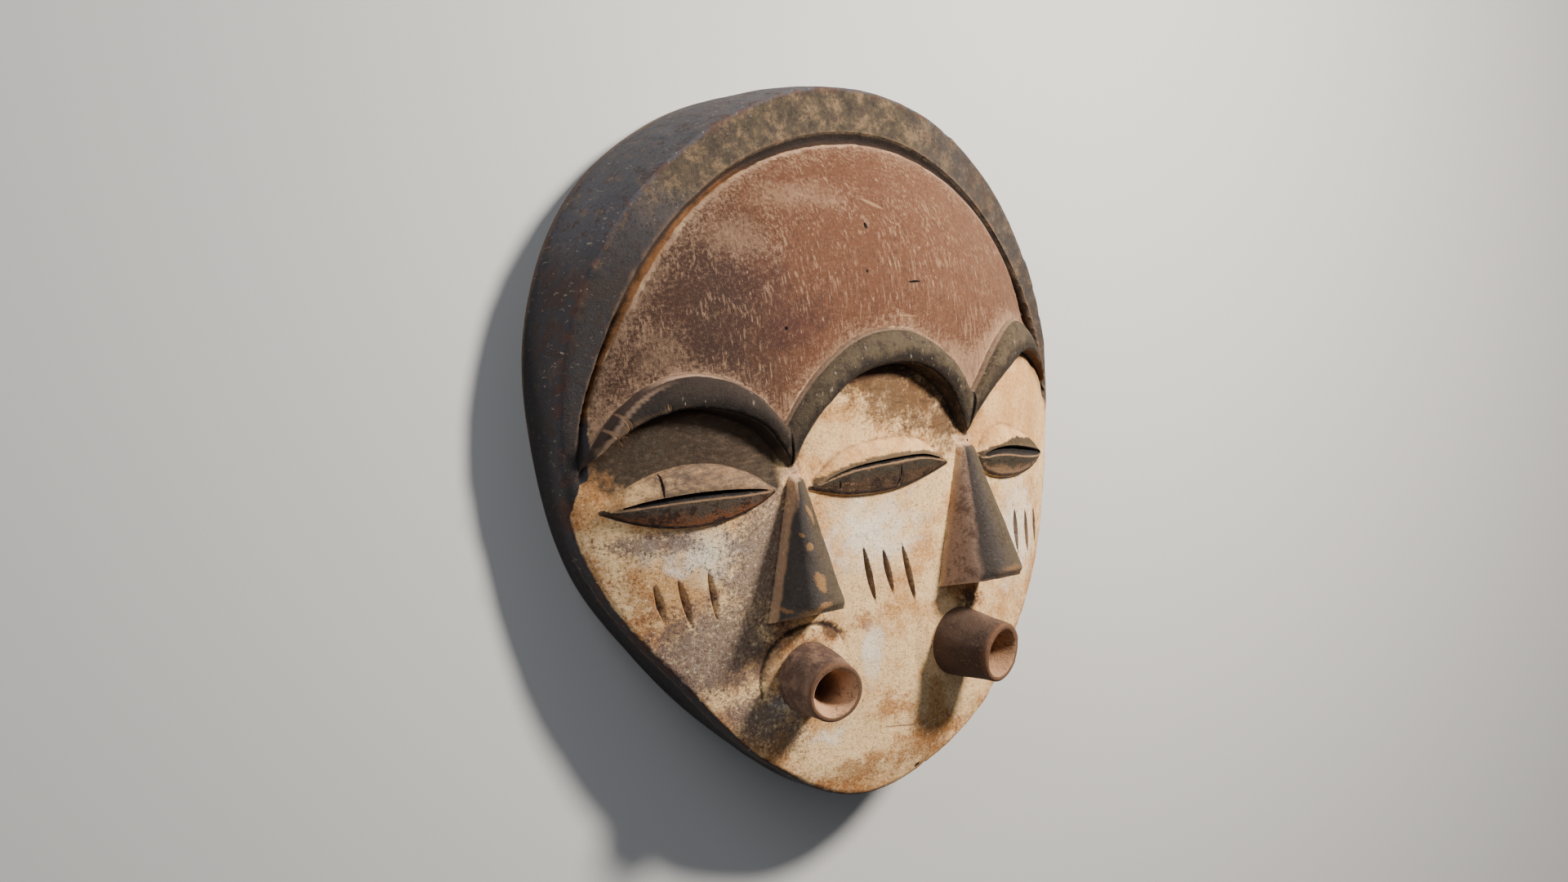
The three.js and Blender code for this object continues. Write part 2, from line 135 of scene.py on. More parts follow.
# Noses.
NOSE_X = 54.0
NOSE_ROOT_Y = 1.0
NOSE_FOOT_Y = -67.5
NOSE_TIP_Y = {-1: -62.0, 1: -65.0}
NOSE_TIP_HEIGHT = 97.5
NOSE_LEAN = {-1: (0.5, 2.4), 1: (2.0, 7.4)}
NOSE_FOOT_HALF = (3.5, 15.4)  # half widths at the root and at the tip
NOSE_BRIDGE_HALF = (2.6, 15.0)
NOSE_CORNER = 3.2  # power of the rounding of its cross-section
NOSE_ROWS, NOSE_COLUMNS, UNDERSIDE_ROWS = 58, 64, 13
UNDERSIDE_HOLLOW = 1.6

# Mouths: short tapered tubes, each in a low swelling of the cheek.
MOUTH_X, MOUTH_Y = 48.0, -95.0
MOUTH_SPLAY, MOUTH_DROOP = 12.5, 13.0  # degrees outward, degrees towards the chin
MOUTH_LENGTH = 29.5
TUBE_RADIUS = (16.6, 14.4)
LIP_ROUND = 1.4
BORE_RADIUS = (3.2, 11.6)
BORE_DEPTH = 22.0
SWELLING_RADIUS, SWELLING_HEIGHT, SWELLING_SLOPE = 24.0, 2.6, 9.0
LEDGE_TURN = math.radians(118)  # where round a mouth the swelling ends in a ledge
RIGHT_LEDGE = 0.35  # how crisp the ledge is at the right mouth
LEDGE_SLOPE = 1.6
LEDGE_GROOVE, GROOVE_AWAY, GROOVE_WIDTH = 0.7, 0.7, 0.9
BARREL_RINGS, BORE_RINGS = 24, 13
LIP_BENDS = (18, 36, 54, 72, 90)
BORE_EDGE = (0.7, 0.35)  # width and depth of the worn edge of the bore

SCAR_WIDTH, SCAR_DEPTH = 4.0, 2.2
SCARS = [
    ((-123.7, -39.8), (-118.9, -60.3)), ((-113.7, -38.6), (-106.9, -64.0)),
    ((-100.0, -36.5), (-95.0, -62.9)), ((-12.0, -38.7), (-2.9, -68.9)),
    ((0.9, -42.3), (8.8, -66.5)), ((13.5, -42.0), (23.4, -72.9)),
    ((98.0, -38.0), (102.5, -62.0)), ((109.5, -40.0), (114.5, -64.0)),
    ((120.5, -41.0), (125.5, -61.0)),
]

# Small dark cracks and pits, then pale scratches, as start, end, width and depth.
CRACKS = [
    ((1.9, 111.6), (1.9, 108.8), 1.7, 1.2), ((-4.4, 90.2), (-4.4, 88.4), 1.2, 0.6),
    ((-55.1, 69.6), (-55.1, 67.6), 1.6, 1.0), ((20.8, 81.4), (29.3, 80.8), 1.0, 1.0),
    ((-121.6, 10.4), (-122.4, -1.0), 0.8, 0.8), ((7.6, -3.0), (9.2, -9.6), 0.9, 1.5),
    ((9.2, -9.6), (7.0, -14.0), 0.9, 1.3), ((25.5, -155.5), (28.5, -152.2), 2.4, 1.4),
    ((-30.0, -5.5), (-28.6, -10.0), 0.8, 0.9),
]
SCRATCHES = [
    ((-2.9, 108.6), (-2.9, 106.6), 1.5, 0.4), ((-10.3, 95.2), (-10.3, 92.8), 1.4, 0.4),
    ((22.8, 131.2), (22.8, 129.0), 1.6, 0.4), ((-8.7, 134.8), (-8.0, 132.2), 1.8, 0.4),
    ((-44.8, 94.2), (-44.2, 91.0), 1.6, 0.5), ((5.2, 123.1), (17.5, 116.4), 1.7, 0.3),
    ((11.0, 67.5), (23.9, 64.8), 1.2, 0.3), ((-133.8, 41.4), (-132.4, 24.5), 1.7, 1.1),
    ((-133.2, 33.0), (-129.6, 28.0), 1.2, 0.7), ((-139.8, 34.2), (-138.2, 26.8), 1.4, 0.9),
    ((-117.6, 42.0), (-116.6, 38.4), 1.3, 0.6), ((1.1, -130.0), (26.0, -133.2), 1.3, 0.4),
]

# Soft patches of wear and stain, and of painted shadow and painted light, as x, y, half width, half length
# and turn in degrees.
STAINS = {
    "worn": [(-58.6, -47.5, 3.2, 6.0, 20), (-63.0, -60.5, 9.0, 2.6, 0), (60.4, -61.5, 9.0, 3.6, 0),
             (66.0, -47.0, 1.8, 2.2, 0), (-60.1, -26.0, 1.7, 2.2, 0), (-60.9, -33.7, 2.2, 2.4, 0),
             (-54.5, -17.0, 1.3, 5.0, 10)],
    "waist": [(-55.6, 0.4, 6.5, 4.2, 0), (56.0, 0.2, 6.5, 3.4, 0)],
    "maroon": [(-74.0, 88.0, 34, 34, 0), (-88.0, 66.0, 24, 18, 0), (-52.0, 70.0, 30, 14, 20)],
    "dust": [(-139.0, 34.0, 12, 20, 30), (-68.0, 112.0, 20, 15, -25), (-112.0, 62.0, 15, 18, 0),
             (-28.0, 128.0, 34, 9, -8)],
    "ochre": [(-143.0, 6.0, 9, 13, 0), (30.0, -142.0, 30, 13, 6), (-12.0, -148.0, 26, 9, 0),
              (-36.0, -79.0, 12, 7, -25), (-60.0, -78.0, 12, 6, 20), (8.0, -121.0, 18, 7, 0),
              (-130.0, -45.0, 7, 28, 18), (62.0, -76.0, 12, 6, -20), (-9.0, -76.0, 9, 7, 0)],
    # painted shadow of the left nose and mouth over the left cheek, and under the left eye
    "painted_shadow": [(-71.0, -36.0, 27, 48, -14), (-98.0, -76.0, 44, 28, 20), (-72.0, -112.0, 26, 15, -20),
              (-122.0, -22.0, 24, 7, -10)],
    # brown stains; the first three patches, in the middle socket, are partly painted shade under its brow
    "brown": [(14.0, 28.0, 50, 20, -24), (0.0, 38.0, 38, 12, 0), (42.0, 12.0, 15, 18, 0),
              (-68.0, -86.0, 10, 14, 20), (-34.0, -77.0, 11, 6, -25), (60.0, -78.0, 10, 6, 0),
              (-114.0, -66.0, 10, 14, 20), (-96.0, -90.0, 12, 9, 0), (-60.0, -124.0, 17, 9, -30),
              (-104.0, 24.0, 48, 19, 0)],
    # chalk patches; the first, on the left cheek, is a painted lit patch
    "chalk_and_lit_patch": [(-103.0, -30.0, 28, 16, -10), (-6.0, -34.0, 40, 24, 0), (-5.0, -90.0, 9, 22, 0),
              (-62.0, -108.0, 12, 9, 0), (-30.0, -128.0, 16, 6, 0), (100.0, -50.0, 26, 34, 0)],
}

# Hand work and wear, on the face, the wall, the hollow, the noses and the mouths.
UNEVENNESS = (0.7, 0.8, 2.2, 0.7, 0.9)
CHIP_DEPTH = (0.2, 0.4, 0.2, 0.2, 0.2)
RIM_CALM = 6.0  # height over which both grow from nothing, so that the rim stays flat
SHARP_ANGLE = 48  # degrees

# How finely the surface is laid out: first the face, with its points' spacings, how near the
# lines they are fine, and how far lines and points stay from the face's edge and its holes.
FINE, COARSE = 1.12, 1.75
CLOSEST = 0.62 * FINE
NEAR_FEATURE = 6.0
PLAN_REACH = 185.0
LINE_FROM_EDGE, LINE_FROM_HOLE, FILL_CLEAR = 0.9, 0.6, 0.5
LINE_SPACING, BROW_SPACING = 1.0, 1.1
DROP = 0.8  # plan width of a nearly upright edge

# Then the rings: vertices in each, shares of the step, degrees round the edge, and numbers.
AROUND = 720
AROUND_TUBE = 108
STEP_RINGS = (0.2, 0.4, 0.6, 0.75, 0.88, 1.0)
EDGE_BENDS = (22, 42, 60, 76, 90)
BAND_RINGS, WALL_RINGS, HOLLOW_RINGS = 10, 16, 18
FOOT_TRIES = 14

# Zones of paint: what they say on other parts of the carving, and where some of them end.
FAR_OUTSIDE, NOT_HERE = -9.0, -3.0
HAIR_END = (100, 93)  # degrees from the crown: past them the black keeps to the jaw's edge
OVER_JAW, OVER_BAND = 0.8, 1.2  # how far in from that edge, or from the band's, it reaches
GROOVE_END = (93.5, 95.5)
CREASE_AWAY, CREASE_WIDTH = 0.6, 2.2
STAIN_WARP, WARP_SIZE, WARP_SEEDS = 2.2, 7, (21, 22, 23)


def mix(a, b, t):
    return a + (b - a) * t


def smooth(t):
    k = np.clip(t, 0.0, 1.0)
    return k * k * (3 - 2 * k)


def ramp(value, start, end):
    """0 up to the start, 1 from the end on, and a soft rise between them."""
    return smooth((value - start) / (end - start))


def curve(a, b, c, d, f):
    """A share f of the way from b to c on a smooth curve that comes from a and goes on to d."""
    return b + 0.5 * f * (c - a + f * (2 * a - 5 * b + 4 * c - d + f * (3 * (b - c) + d - a)))


def through(values, t):
    """Smooth curve through evenly spaced values, mirrored at both ends."""
    values = np.asarray(values, float)
    last = len(values) - 1
    t = np.clip(t, 0, last)
    i = np.minimum(np.floor(t).astype(int), last - 1)
    f = t - i

    def at(k):
        k = np.abs(k)
        return values[np.where(k > last, 2 * last - k, k)]

    return curve(at(i - 1), at(i), at(i + 1), at(i + 2), f)


def station(values, angle):
    """A value of the plan at an angle from the crown, between those given at the stations."""
    return through(values, angle / math.pi * STATIONS)


def along(points, spacing):
    """Open smooth curve through plan points, sampled at an even spacing."""
    points = np.asarray(points, float)
    last = len(points) - 1
    t = np.linspace(0, last, 60 * last + 1)
    i = np.minimum(t.astype(int), last - 1)
    f = (t - i)[:, None]
    a, b, c, d = (points[np.clip(i + k, 0, last)] for k in (-1, 0, 1, 2))
    return evenly(curve(a, b, c, d, f), spacing)


def evenly(line, spacing, count=None):
    """The same line with its points at an even spacing, or with that many points."""
    steps = np.diff(line, axis=0)
    lengths = np.hypot(*steps.T) if line.shape[1] == 2 else np.linalg.norm(steps, axis=1)
    run = np.concatenate([[0], np.cumsum(lengths)])
    count = count or max(2, int(round(run[-1] / spacing)) + 1)
    at = np.linspace(0, run[-1], count)
    return np.stack([np.interp(at, run, line[:, k]) for k in range(line.shape[1])], axis=1)


def offset(line, distance):
    """A line moved sideways, to its left as it runs."""
    tangent = np.gradient(line, axis=0)
    tangent /= np.linalg.norm(tangent, axis=1)[:, None]
    return line + distance * np.stack([-tangent[:, 1], tangent[:, 0]], axis=1)


def within_reach(points, line, reach):
    """Which plan points lie in the box round a line, widened by the reach."""
    low, high = line.min(0) - reach, line.max(0) + reach
    return np.where(np.all((points > low) & (points < high), axis=1))[0]


def from_stretch(p, a, step):
    """Distance of points from one straight stretch, and how far along it the nearest place is."""
    t = np.clip((p - a) @ step / max(step @ step, 1e-12), 0, 1)
    return np.hypot(*(p - a - t[:, None] * step).T), t


def line_distance(points, line, reach=30.0):
    """Distance from plan points to an open line, and how far along it the nearest place is."""
    best = np.full(len(points), reach)
    share = np.zeros(len(points))
    near = within_reach(points, line, reach)
    p = points[near]
    got, place = best[near], share[near]
    for k in range(len(line) - 1):
        away, t = from_stretch(p, line[k], line[k + 1] - line[k])
        closer = away < got
        got[closer] = away[closer]
        place[closer] = (k + t[closer]) / (len(line) - 1)
    best[near], share[near] = got, place
    return best, share


def inside_distance(points, outline, reach=12.0):
    """Signed distance to a closed outline, positive inside it."""
    result = np.full(len(points), -reach)
    near = within_reach(points, outline, reach)
    p = points[near]
    away = np.full(len(near), np.inf)
    inside = np.zeros(len(near), bool)
    for a, b in zip(outline, np.roll(outline, -1, axis=0)):
        step = b - a
        away = np.minimum(away, from_stretch(p, a, step)[0])
        crosses = (a[1] > p[:, 1]) != (b[1] > p[:, 1])
        if step[1] != 0:
            inside ^= crosses & (p[:, 0] < a[0] + (p[:, 1] - a[1]) * step[0] / step[1])
    result[near] = np.where(inside, away, -np.minimum(away, reach))
    return result


def lattice_noise(points, size, seed):
    """Smooth noise from -1 to 1 with bumps of about that size, in millimetres."""
    q = np.asarray(points, float) / size + 101.5
    cell = np.floor(q).astype(np.int64)
    f = q - cell
    f = f * f * f * (f * (f * 6 - 15) + 10)
    total = np.zeros(len(q))
    for corner in np.ndindex(2, 2, 2):
        at = cell + corner
        key = (at[:, 0] * 73856093) ^ (at[:, 1] * 19349663) ^ (at[:, 2] * 83492791) ^ (seed * 40503)
        key = (key ^ (key >> 13)) * 1274126177
        value = ((key ^ (key >> 16)) & 0xFFFF) / 32767.5 - 1
        weight = np.prod(np.where(corner, f, 1 - f), axis=1)
        total += value * weight
    return total


# The plain surfaces.
def face_height(x, y):
    """Height of the dome that face and forehead are carved on."""
    half_width = mix(CHEEK_HALF_WIDTH, FOREHEAD_HALF_WIDTH, ramp(y, *TEMPLE_Y))
    out = np.hypot(x / half_width, np.maximum(y - MIDDLE_Y, 0) / FOREHEAD_LENGTH)
    chin = CHIN_ROUND * ramp(-y, *BELOW_MOUTHS)
    return FACE_HEIGHT + FACE_TILT * y - SIDE_DROP * out ** DROP_POWER - chin


def plan_point(angle, radius):
    return np.stack([radius * np.sin(angle), MIDDLE_Y + radius * np.cos(angle)], axis=-1)


def from_crown(angle):
    return np.arccos(np.clip(np.cos(angle), -1, 1))


def band_share(angle):
    """1 where the band stands, 0 where it has run out."""
    return 1 - ramp(from_crown(angle), *np.radians(BAND_END))


def jaw_share(a):
    """0 along the crown, where the step rings the forehead, and 1 along the jaw."""
    return ramp(np.degrees(a), *JAW_START)


def step_foot(a):
    """Radius at the foot of the band's step."""
    return station(BAND_RADIUS, a) - station(STEP_WIDTH, a)


def plan_angle(points):
    """Angle and radius of plan points about the middle of the forehead's foot."""
    x, y = points[:, 0], points[:, 1] - MIDDLE_Y
    return np.arctan2(x, y), np.hypot(x, y)


def edge_of_plan(angle):
    """Radius out to which the face is laid out in plan: the step's foot, or the outer edge."""
    a = from_crown(angle)
    edge = station(EDGE_RADIUS, a) - station(EDGE_ROUND, a)
    return mix(step_foot(a), edge, jaw_share(a))


def ground(points):
    """Height of the bare form: dome of the face, step, band and rounded outer edge."""
    angle, radius = plan_angle(points)
    a = from_crown(angle)
    band, edge, foot = station(BAND_RADIUS, a), station(EDGE_RADIUS, a), step_foot(a)
    round_ = station(EDGE_ROUND, a)

    def plain(out):
        return face_height(*plan_point(angle, out).T)

    upper = np.minimum(a, math.pi / 2)
    band_top, edge_top = station(BAND_HEIGHT, upper), station(RIDGE_HEIGHT, upper)
    step = np.clip((radius - foot) / (band - foot), 0, 1)
    banded_z = mix(plain(np.minimum(radius, foot)), band_top, smooth(step * STEP_STEEPNESS))
    banded_z -= GROOVE_DEPTH * np.sin(np.pi * step) ** GROOVE_FULLNESS
    banded_z = np.where(radius > band, mix(band_top, edge_top, (radius - band) / (edge - band)), banded_z)
    z = mix(plain(np.minimum(radius, edge)), banded_z, band_share(angle))
    corner = np.clip((radius - edge + round_) / round_, 0, 1)
    return z - round_ * (1 - np.sqrt(1 - corner ** 2))


def panel_edge(angle):
    """Radius of the forehead panel's lit edge, which draws in from the step on the left side."""
    a = from_crown(angle)
    draw_in = PANEL_DRAW_IN * ramp(np.degrees(a), *DRAW_IN_START) * (np.sin(angle) < 0)
    return step_foot(a) - draw_in


def panel_rise(angle, radius):
    """The panel is a little flatter than the dome, so that its edge stands up."""
    edge = panel_edge(angle)
    fall = np.maximum(step_foot(from_crown(angle)) - edge, PANEL_LEAST_FALL)
    up = smooth((radius - edge + PANEL_FLAT) / PANEL_FLAT)
    down = np.clip((radius - edge) / fall, 0, 1)
    return PANEL_RISE * up * (1 - down ** 0.8) * band_share(angle)


def lens(start, end, width, count=17):
    """Outline and keel of a boat-shaped cut."""
    start, end = np.array(start, float), np.array(end, float)
    t = np.linspace(0, 1, count)[:, None]
    keel = mix(start, end, t)
    run = end - start
    across = np.array([-run[1], run[0]]) / np.hypot(*run)
    half = 0.5 * width * np.sin(np.pi * t) ** 0.8 * across
    return np.concatenate([keel + half, (keel - half)[::-1][1:-1]]), keel


class Plan:
    """Everything drawn on the face: closed outlines, and the lines that vertices are laid on."""

    def __init__(self):
        self.lines = []
        self.brows = [self.brow(shape) for shape in (LEFT_BROW, MIDDLE_BROW, RIGHT_BROW)]
        self.eyes = [self.eye(shape) for shape in (LEFT_EYE, MIDDLE_EYE, RIGHT_EYE)]
        self.sockets = [np.concatenate([brow["lower"], eye["crease"][::-1]])
                        for brow, eye in zip(self.brows, self.eyes)]
        self.scars = [self.cut(start, end, SCAR_WIDTH, SCAR_DEPTH) for start, end in SCARS]
        self.cracks = [self.cut(*mark) for mark in CRACKS + PARTINGS]
        self.scratches = [self.cut(*mark) for mark in SCRATCHES]
        self.forehead = self.forehead_outline()
        self.lay(self.forehead[self.arch_count + 8:-8])

    def lay(self, points, closed=False):
        self.lines.append((points, closed))

    def brow(self, shape):
        """A brow's edges, each with a line beside it where the wood drops nearly upright."""
        upper, lower = (along(shape[name], BROW_SPACING) for name in ("upper", "lower"))
        side = 1 if lower[0, 0] > lower[-1, 0] else -1
        for line in (upper, offset(upper, side * DROP), lower, offset(lower, side * DROP)):
            self.lay(line)
        return {"upper": upper, "lower": lower, "run_out": shape["run_out"], "tail": shape["tail"],
                "outline": np.concatenate([upper, lower[::-1]])}

    def eye(self, shape):
        """An eye's crease and foot, and the slit where its lids meet."""
        crease, under = (along(shape[name], LINE_SPACING) for name in ("crease", "under"))
        side = 1 if crease[0, 0] > crease[-1, 0] else -1
        inner = offset(crease, side * DROP)[3:-3]
        for line in (crease, inner, under[1:-1], offset(under, side * DROP)[2:-2]):
            self.lay(line)
        meeting = mix(evenly(crease, 1, 101), evenly(under, 1, 101), shape["meeting"])[SLIT_STRETCH]
        share = np.linspace(0, 1, len(meeting))[:, None]
        half = 0.5 * shape["slit"] * np.sin(np.pi * share) ** 0.6 * np.array([0.0, 1.0])
        top, bottom, keel = meeting + half, meeting - half, meeting + KEEL_UP * half
        for line in (top, bottom, keel[5:-5]):
            self.lay(evenly(line, LINE_SPACING))
        return {"crease": crease, "under": under, "keel": keel, "meeting": shape["meeting"],
                "outline": np.concatenate([crease, under[::-1][1:-1]]),
                "slit": np.concatenate([top, bottom[::-1][1:-1]])}

    def cut(self, start, end, width, depth):
        outline, keel = lens(start, end, width)
        self.lay(outline, closed=True)
        self.lay(keel[2:-2])
        return {"outline": outline, "keel": keel, "depth": depth}

    def forehead_outline(self):
        left, middle, right = (brow["upper"] for brow in self.brows)
        arches = np.concatenate([left[::-1], middle[2:-2], right])
        self.arch_count = len(arches)
        ends = [math.atan2(arches[k, 0], arches[k, 1] - MIDDLE_Y) for k in (-1, 0)]
        angles = np.linspace(ends[0], ends[1], 400)[1:-1]
        return np.concatenate([arches, plan_point(angles, panel_edge(angles))])


def brow_height(points, brow):
    """Rise of a brow over the face, and which points lie on it."""
    inside = inside_distance(points, brow["outline"]) > -TOUCHING
    above, _ = line_distance(points, brow["upper"])
    below, share = line_distance(points, brow["lower"])
    w = above / np.maximum(above + below, 1e-6)
    end = np.where(share < 0.5, BROW_ROOT_HEIGHT, brow["tail"])
    from_ends = np.minimum(share / BROW_ROOT_RUN, (1 - share) / brow["run_out"])
    rise = mix(end, BROW_HEIGHT, smooth(from_ends))
    swell = BROW_TOP_SHARE * smooth(above / BROW_TOP_WIDTH)
    swell += (1 - BROW_TOP_SHARE) * np.sin(0.7 * np.pi * w ** 0.75)
    foot = BROW_FOOT_DEPTH * np.clip(1 - below / BROW_FOOT_WIDTH, 0, 1) ** 2
    run = np.minimum(share, 1 - share) * BROW_SPACING * len(brow["lower"])
    height = np.maximum(rise * swell - foot, 0) * smooth((run + 1) / BROW_END_RUN)
    return np.where(inside, height, 0), inside


def socket_depth(points, brow, eye, outline):
    """Depth of the hollow between a brow and the crease of its eye."""
    inside = inside_distance(points, outline) > -TOUCHING
    above, _ = line_distance(points, brow["lower"], 60)
    below, _ = line_distance(points, eye["crease"], 60)
    w = above / np.maximum(above + below, 1e-6)
    depth = SOCKET_DEPTH * (1 - 0.5 * w)
    for end in (0, -1):
        gap = np.stack([brow["lower"][end], eye["crease"][end]])
        depth = depth * smooth(line_distance(points, gap)[0] / SOCKET_END_RUN)
    return np.where(inside, depth, 0)


def lid_height(points, eye):
    """Rise of an eye's lids, which points lie on them, and how far from crease to foot."""
    above, _ = line_distance(points, eye["crease"], 60)
    below, _ = line_distance(points, eye["under"], 60)
    corner, across = eye["crease"][0], eye["crease"][-1] - eye["crease"][0]
    share = np.clip((points - corner) @ across / (across @ across), 0, 1)
    inside = (inside_distance(points, eye["outline"]) > -TOUCHING) & (above > TOUCHING)
    w = above / np.maximum(above + below, 1e-6)
    full = np.sin(np.pi * share) ** 0.6
    meeting = eye["meeting"]
    upper = np.sin(np.pi / 2 * np.minimum(1, w / meeting)) * LID_HEIGHT
    lower = mix(LID_HEIGHT - LID_STEP, LID_FOOT, np.clip((w - meeting) / (1 - meeting), 0, 1) ** 1.5)
    height = full * np.where(w < meeting, upper, lower) + LID_START * smooth(above / DROP)
    return np.where(inside, height, 0), inside, w


def cut_depth(points, outline, keel, depth):
    """Depth of a boat-shaped cut, deepest along the middle of its keel."""
    inside = inside_distance(points, outline)
    away, share = line_distance(points, keel)
    v = away / np.maximum(away + inside, 1e-6)
    cut = depth * (1 - np.clip(v, 0, 1)) * np.sin(np.pi * share) ** 0.5
    return np.where(inside > 0, cut, 0)


def ledge(points, side):
    """Distance past the ledge round a mouth, and how crisp it is there: only on its upper left."""
    x, y = points[:, 0] - side * MOUTH_X, points[:, 1] - MOUTH_Y
    turn = np.arctan2(y, x)
    crisp = smooth(0.5 + 0.75 * np.cos(turn - LEDGE_TURN)) * (1.0 if side < 0 else RIGHT_LEDGE)
    radius = SWELLING_RADIUS + 1.2 * np.sin(2 * turn + 0.6) + 0.8 * np.sin(3 * turn)
    return np.hypot(x, y) - radius, crisp


def swelling(points, side):
    """Rise of the cheek round a mouth: soft, but for the ledge and the groove along it."""
    past, crisp = ledge(points, side)
    soft = 1 - smooth((past + SWELLING_SLOPE) / SWELLING_SLOPE)
    steep = 1 - smooth((past + LEDGE_SLOPE) / LEDGE_SLOPE)
    groove = LEDGE_GROOVE * crisp * np.exp(-((past - GROOVE_AWAY) / GROOVE_WIDTH) ** 2)
    return SWELLING_HEIGHT * mix(soft, steep, 0.85 * crisp) - groove


def brows_and_eyes(points, plan):
    """Relief of sockets, brows and eyes."""
    bead = np.zeros(len(points))
    relief = np.zeros(len(points))
    raised = np.zeros(len(points), bool)
    for brow, eye, outline in zip(plan.brows, plan.eyes, plan.sockets):
        relief = np.minimum(relief, -socket_depth(points, brow, eye, outline))
    for brow in plan.brows:
        height, inside = brow_height(points, brow)
        relief = np.where(inside & raised, np.maximum(relief, height), np.where(inside, height, relief))
        raised |= inside
        above, _ = line_distance(points, brow["upper"])
        bead += np.where(inside, 0, BEAD_HEIGHT * np.exp(-(above - BEAD_AWAY) ** 2))
    for eye in plan.eyes:
        height, inside, _ = lid_height(points, eye)
        relief = np.where(inside, height, relief)
        relief -= cut_depth(points, eye["slit"], eye["keel"], SLIT_DEPTH)
    return relief + bead * smooth(inside_distance(points, plan.forehead, 4) + 0.5)


def carved(points, plan):
    """Height of the carved face at plan points."""
    relief = brows_and_eyes(points, plan)
    for cut in plan.scars + plan.cracks + plan.scratches:
        relief -= cut_depth(points, cut["outline"], cut["keel"], cut["depth"])
    for side in (-1, 1):
        relief += swelling(points, side)
    angle, radius = plan_angle(points)
    hold = smooth((edge_of_plan(angle) - radius) / EDGE_CALM)
    return ground(points) + relief * hold + panel_rise(angle, radius)


# Noses.
def nose_sections(side):
    """Rows of points over a nose from its root to its foot, each from one flank to the other."""
    sections = []
    dense = np.linspace(0, np.pi, 400)
    for t in np.linspace(0, 1, NOSE_ROWS) ** 0.9:
        foot = mix(*NOSE_FOOT_HALF, t)
        bridge = mix(*NOSE_BRIDGE_HALF, t)
        rounding = 1 - 0.1 * smooth((t - 0.93) / 0.07) ** 2
        rise = np.abs(np.sin(dense)) ** (2 / NOSE_CORNER) * rounding
        across = np.sign(np.cos(dense)) * np.abs(np.cos(dense)) ** (2 / NOSE_CORNER)
        x = side * NOSE_X + side * mix(*NOSE_LEAN[side], t) * rise - across * mix(foot, bridge, rise)
        y = mix(mix(NOSE_ROOT_Y, NOSE_FOOT_Y, t), mix(NOSE_ROOT_Y, NOSE_TIP_Y[side], t), rise)
        base = face_height(x, y)
        crest = mix(face_height(side * NOSE_X, NOSE_ROOT_Y) + BROW_ROOT_HEIGHT, NOSE_TIP_HEIGHT, t)
        z = mix(base, crest, rise * smooth(t / 0.06 + 0.1))
        sections.append(evenly(np.stack([x, y, z], axis=1), 1, NOSE_COLUMNS))
    return np.array(sections)


def nose_grid(side, plan):
    """The sections, then the underside drawn in to the line of the foot."""
    sections = nose_sections(side)
    last = sections[-1]
    foot = np.linspace(last[0], last[-1], NOSE_COLUMNS)
    bend = np.sin(np.linspace(0, np.pi, NOSE_COLUMNS))
    under = []
    for share in np.linspace(0, 1, UNDERSIDE_ROWS + 1)[1:]:
        row = mix(last, foot, share)
        row[:, 1] += UNDERSIDE_HOLLOW * math.sin(math.pi * share) * bend
        under.append(row)
    grid = np.concatenate([sections, under])
    border = np.zeros(grid.shape[:2], bool)
    border[:, 0] = border[:, -1] = border[0] = border[-1] = True
    grid[border, 2] = carved(grid[border, :2], plan)
    return grid


def nose_loop(grid):
    """Border of a nose: down one flank, along the foot, up the other flank, over the root."""
    sections = len(grid) - UNDERSIDE_ROWS
    down, up = grid[:sections, 0], grid[:sections, -1][::-1]
    return np.concatenate([down, grid[-1, 1:-1], up, grid[0, 1:-1][::-1]])


def place_nose_loop(index, loop):
    """Numbers the border of a nose's grid with the vertices that the face has there."""
    sections, columns = len(index) - UNDERSIDE_ROWS, index.shape[1]
    down, foot, up, top = np.split(loop, np.cumsum([sections, columns - 2, sections]))
    index[:sections, 0], index[-1, 1:-1] = down, foot
    index[:sections, -1], index[0, 1:-1] = up[::-1], top[::-1]
    index[sections:, 0], index[sections:, -1] = down[-1], up[0]


# Mouths.
def tube_axes(side):
    """Where a mouth starts, the way it points, and two directions across it."""
    axis = np.array([side * math.tan(math.radians(MOUTH_SPLAY)), -math.tan(math.radians(MOUTH_DROOP)), 1.0])
    axis /= np.linalg.norm(axis)
    across = np.cross(axis, [0.0, 1.0, 0.0])
    across /= np.linalg.norm(across)
    origin = np.array([side * MOUTH_X, MOUTH_Y, float(face_height(MOUTH_X, MOUTH_Y))])
    return origin, axis, across, np.cross(axis, across)


def tube_foot(origin, axis, ring, plan):
    """How far up its axis each point of the barrel's foot meets the cheek."""
    height = np.zeros(len(ring))
    for _ in range(FOOT_TRIES):
        at = origin + TUBE_RADIUS[0] * ring + height[:, None] * axis
        height -= (at[:, 2] - carved(at[:, :2], plan)) / axis[2]
    return height


def tube_profile(height):
    """Radius and height of each ring: up the barrel from its foot, over the lip, down the bore."""
    foot, lip = TUBE_RADIUS
    rows = []
    top = MOUTH_LENGTH - LIP_ROUND
    for share in np.linspace(0, 1, BARREL_RINGS):
        up = mix(height, top, share)
        taper = smooth((up / MOUTH_LENGTH - 0.15) / 0.9)
        rows.append((mix(foot, lip, taper), up))
    lip = rows[-1][0][0]
    for bend in np.radians(LIP_BENDS):
        rows.append((lip - LIP_ROUND * (1 - math.cos(bend)), top + LIP_ROUND * math.sin(bend)))
    floor, mouth = BORE_RADIUS
    edge_width, edge_depth = BORE_EDGE
    start = MOUTH_LENGTH - edge_depth
    rows += [(mouth + edge_width, MOUTH_LENGTH), (mouth, start)]
    for share in np.linspace(0, 1, BORE_RINGS + 1)[1:]:
        rows.append((mix(mouth, floor, share ** 0.9), start - (BORE_DEPTH - edge_depth) * share))
    return rows + [(0.4 * floor, MOUTH_LENGTH - BORE_DEPTH)]


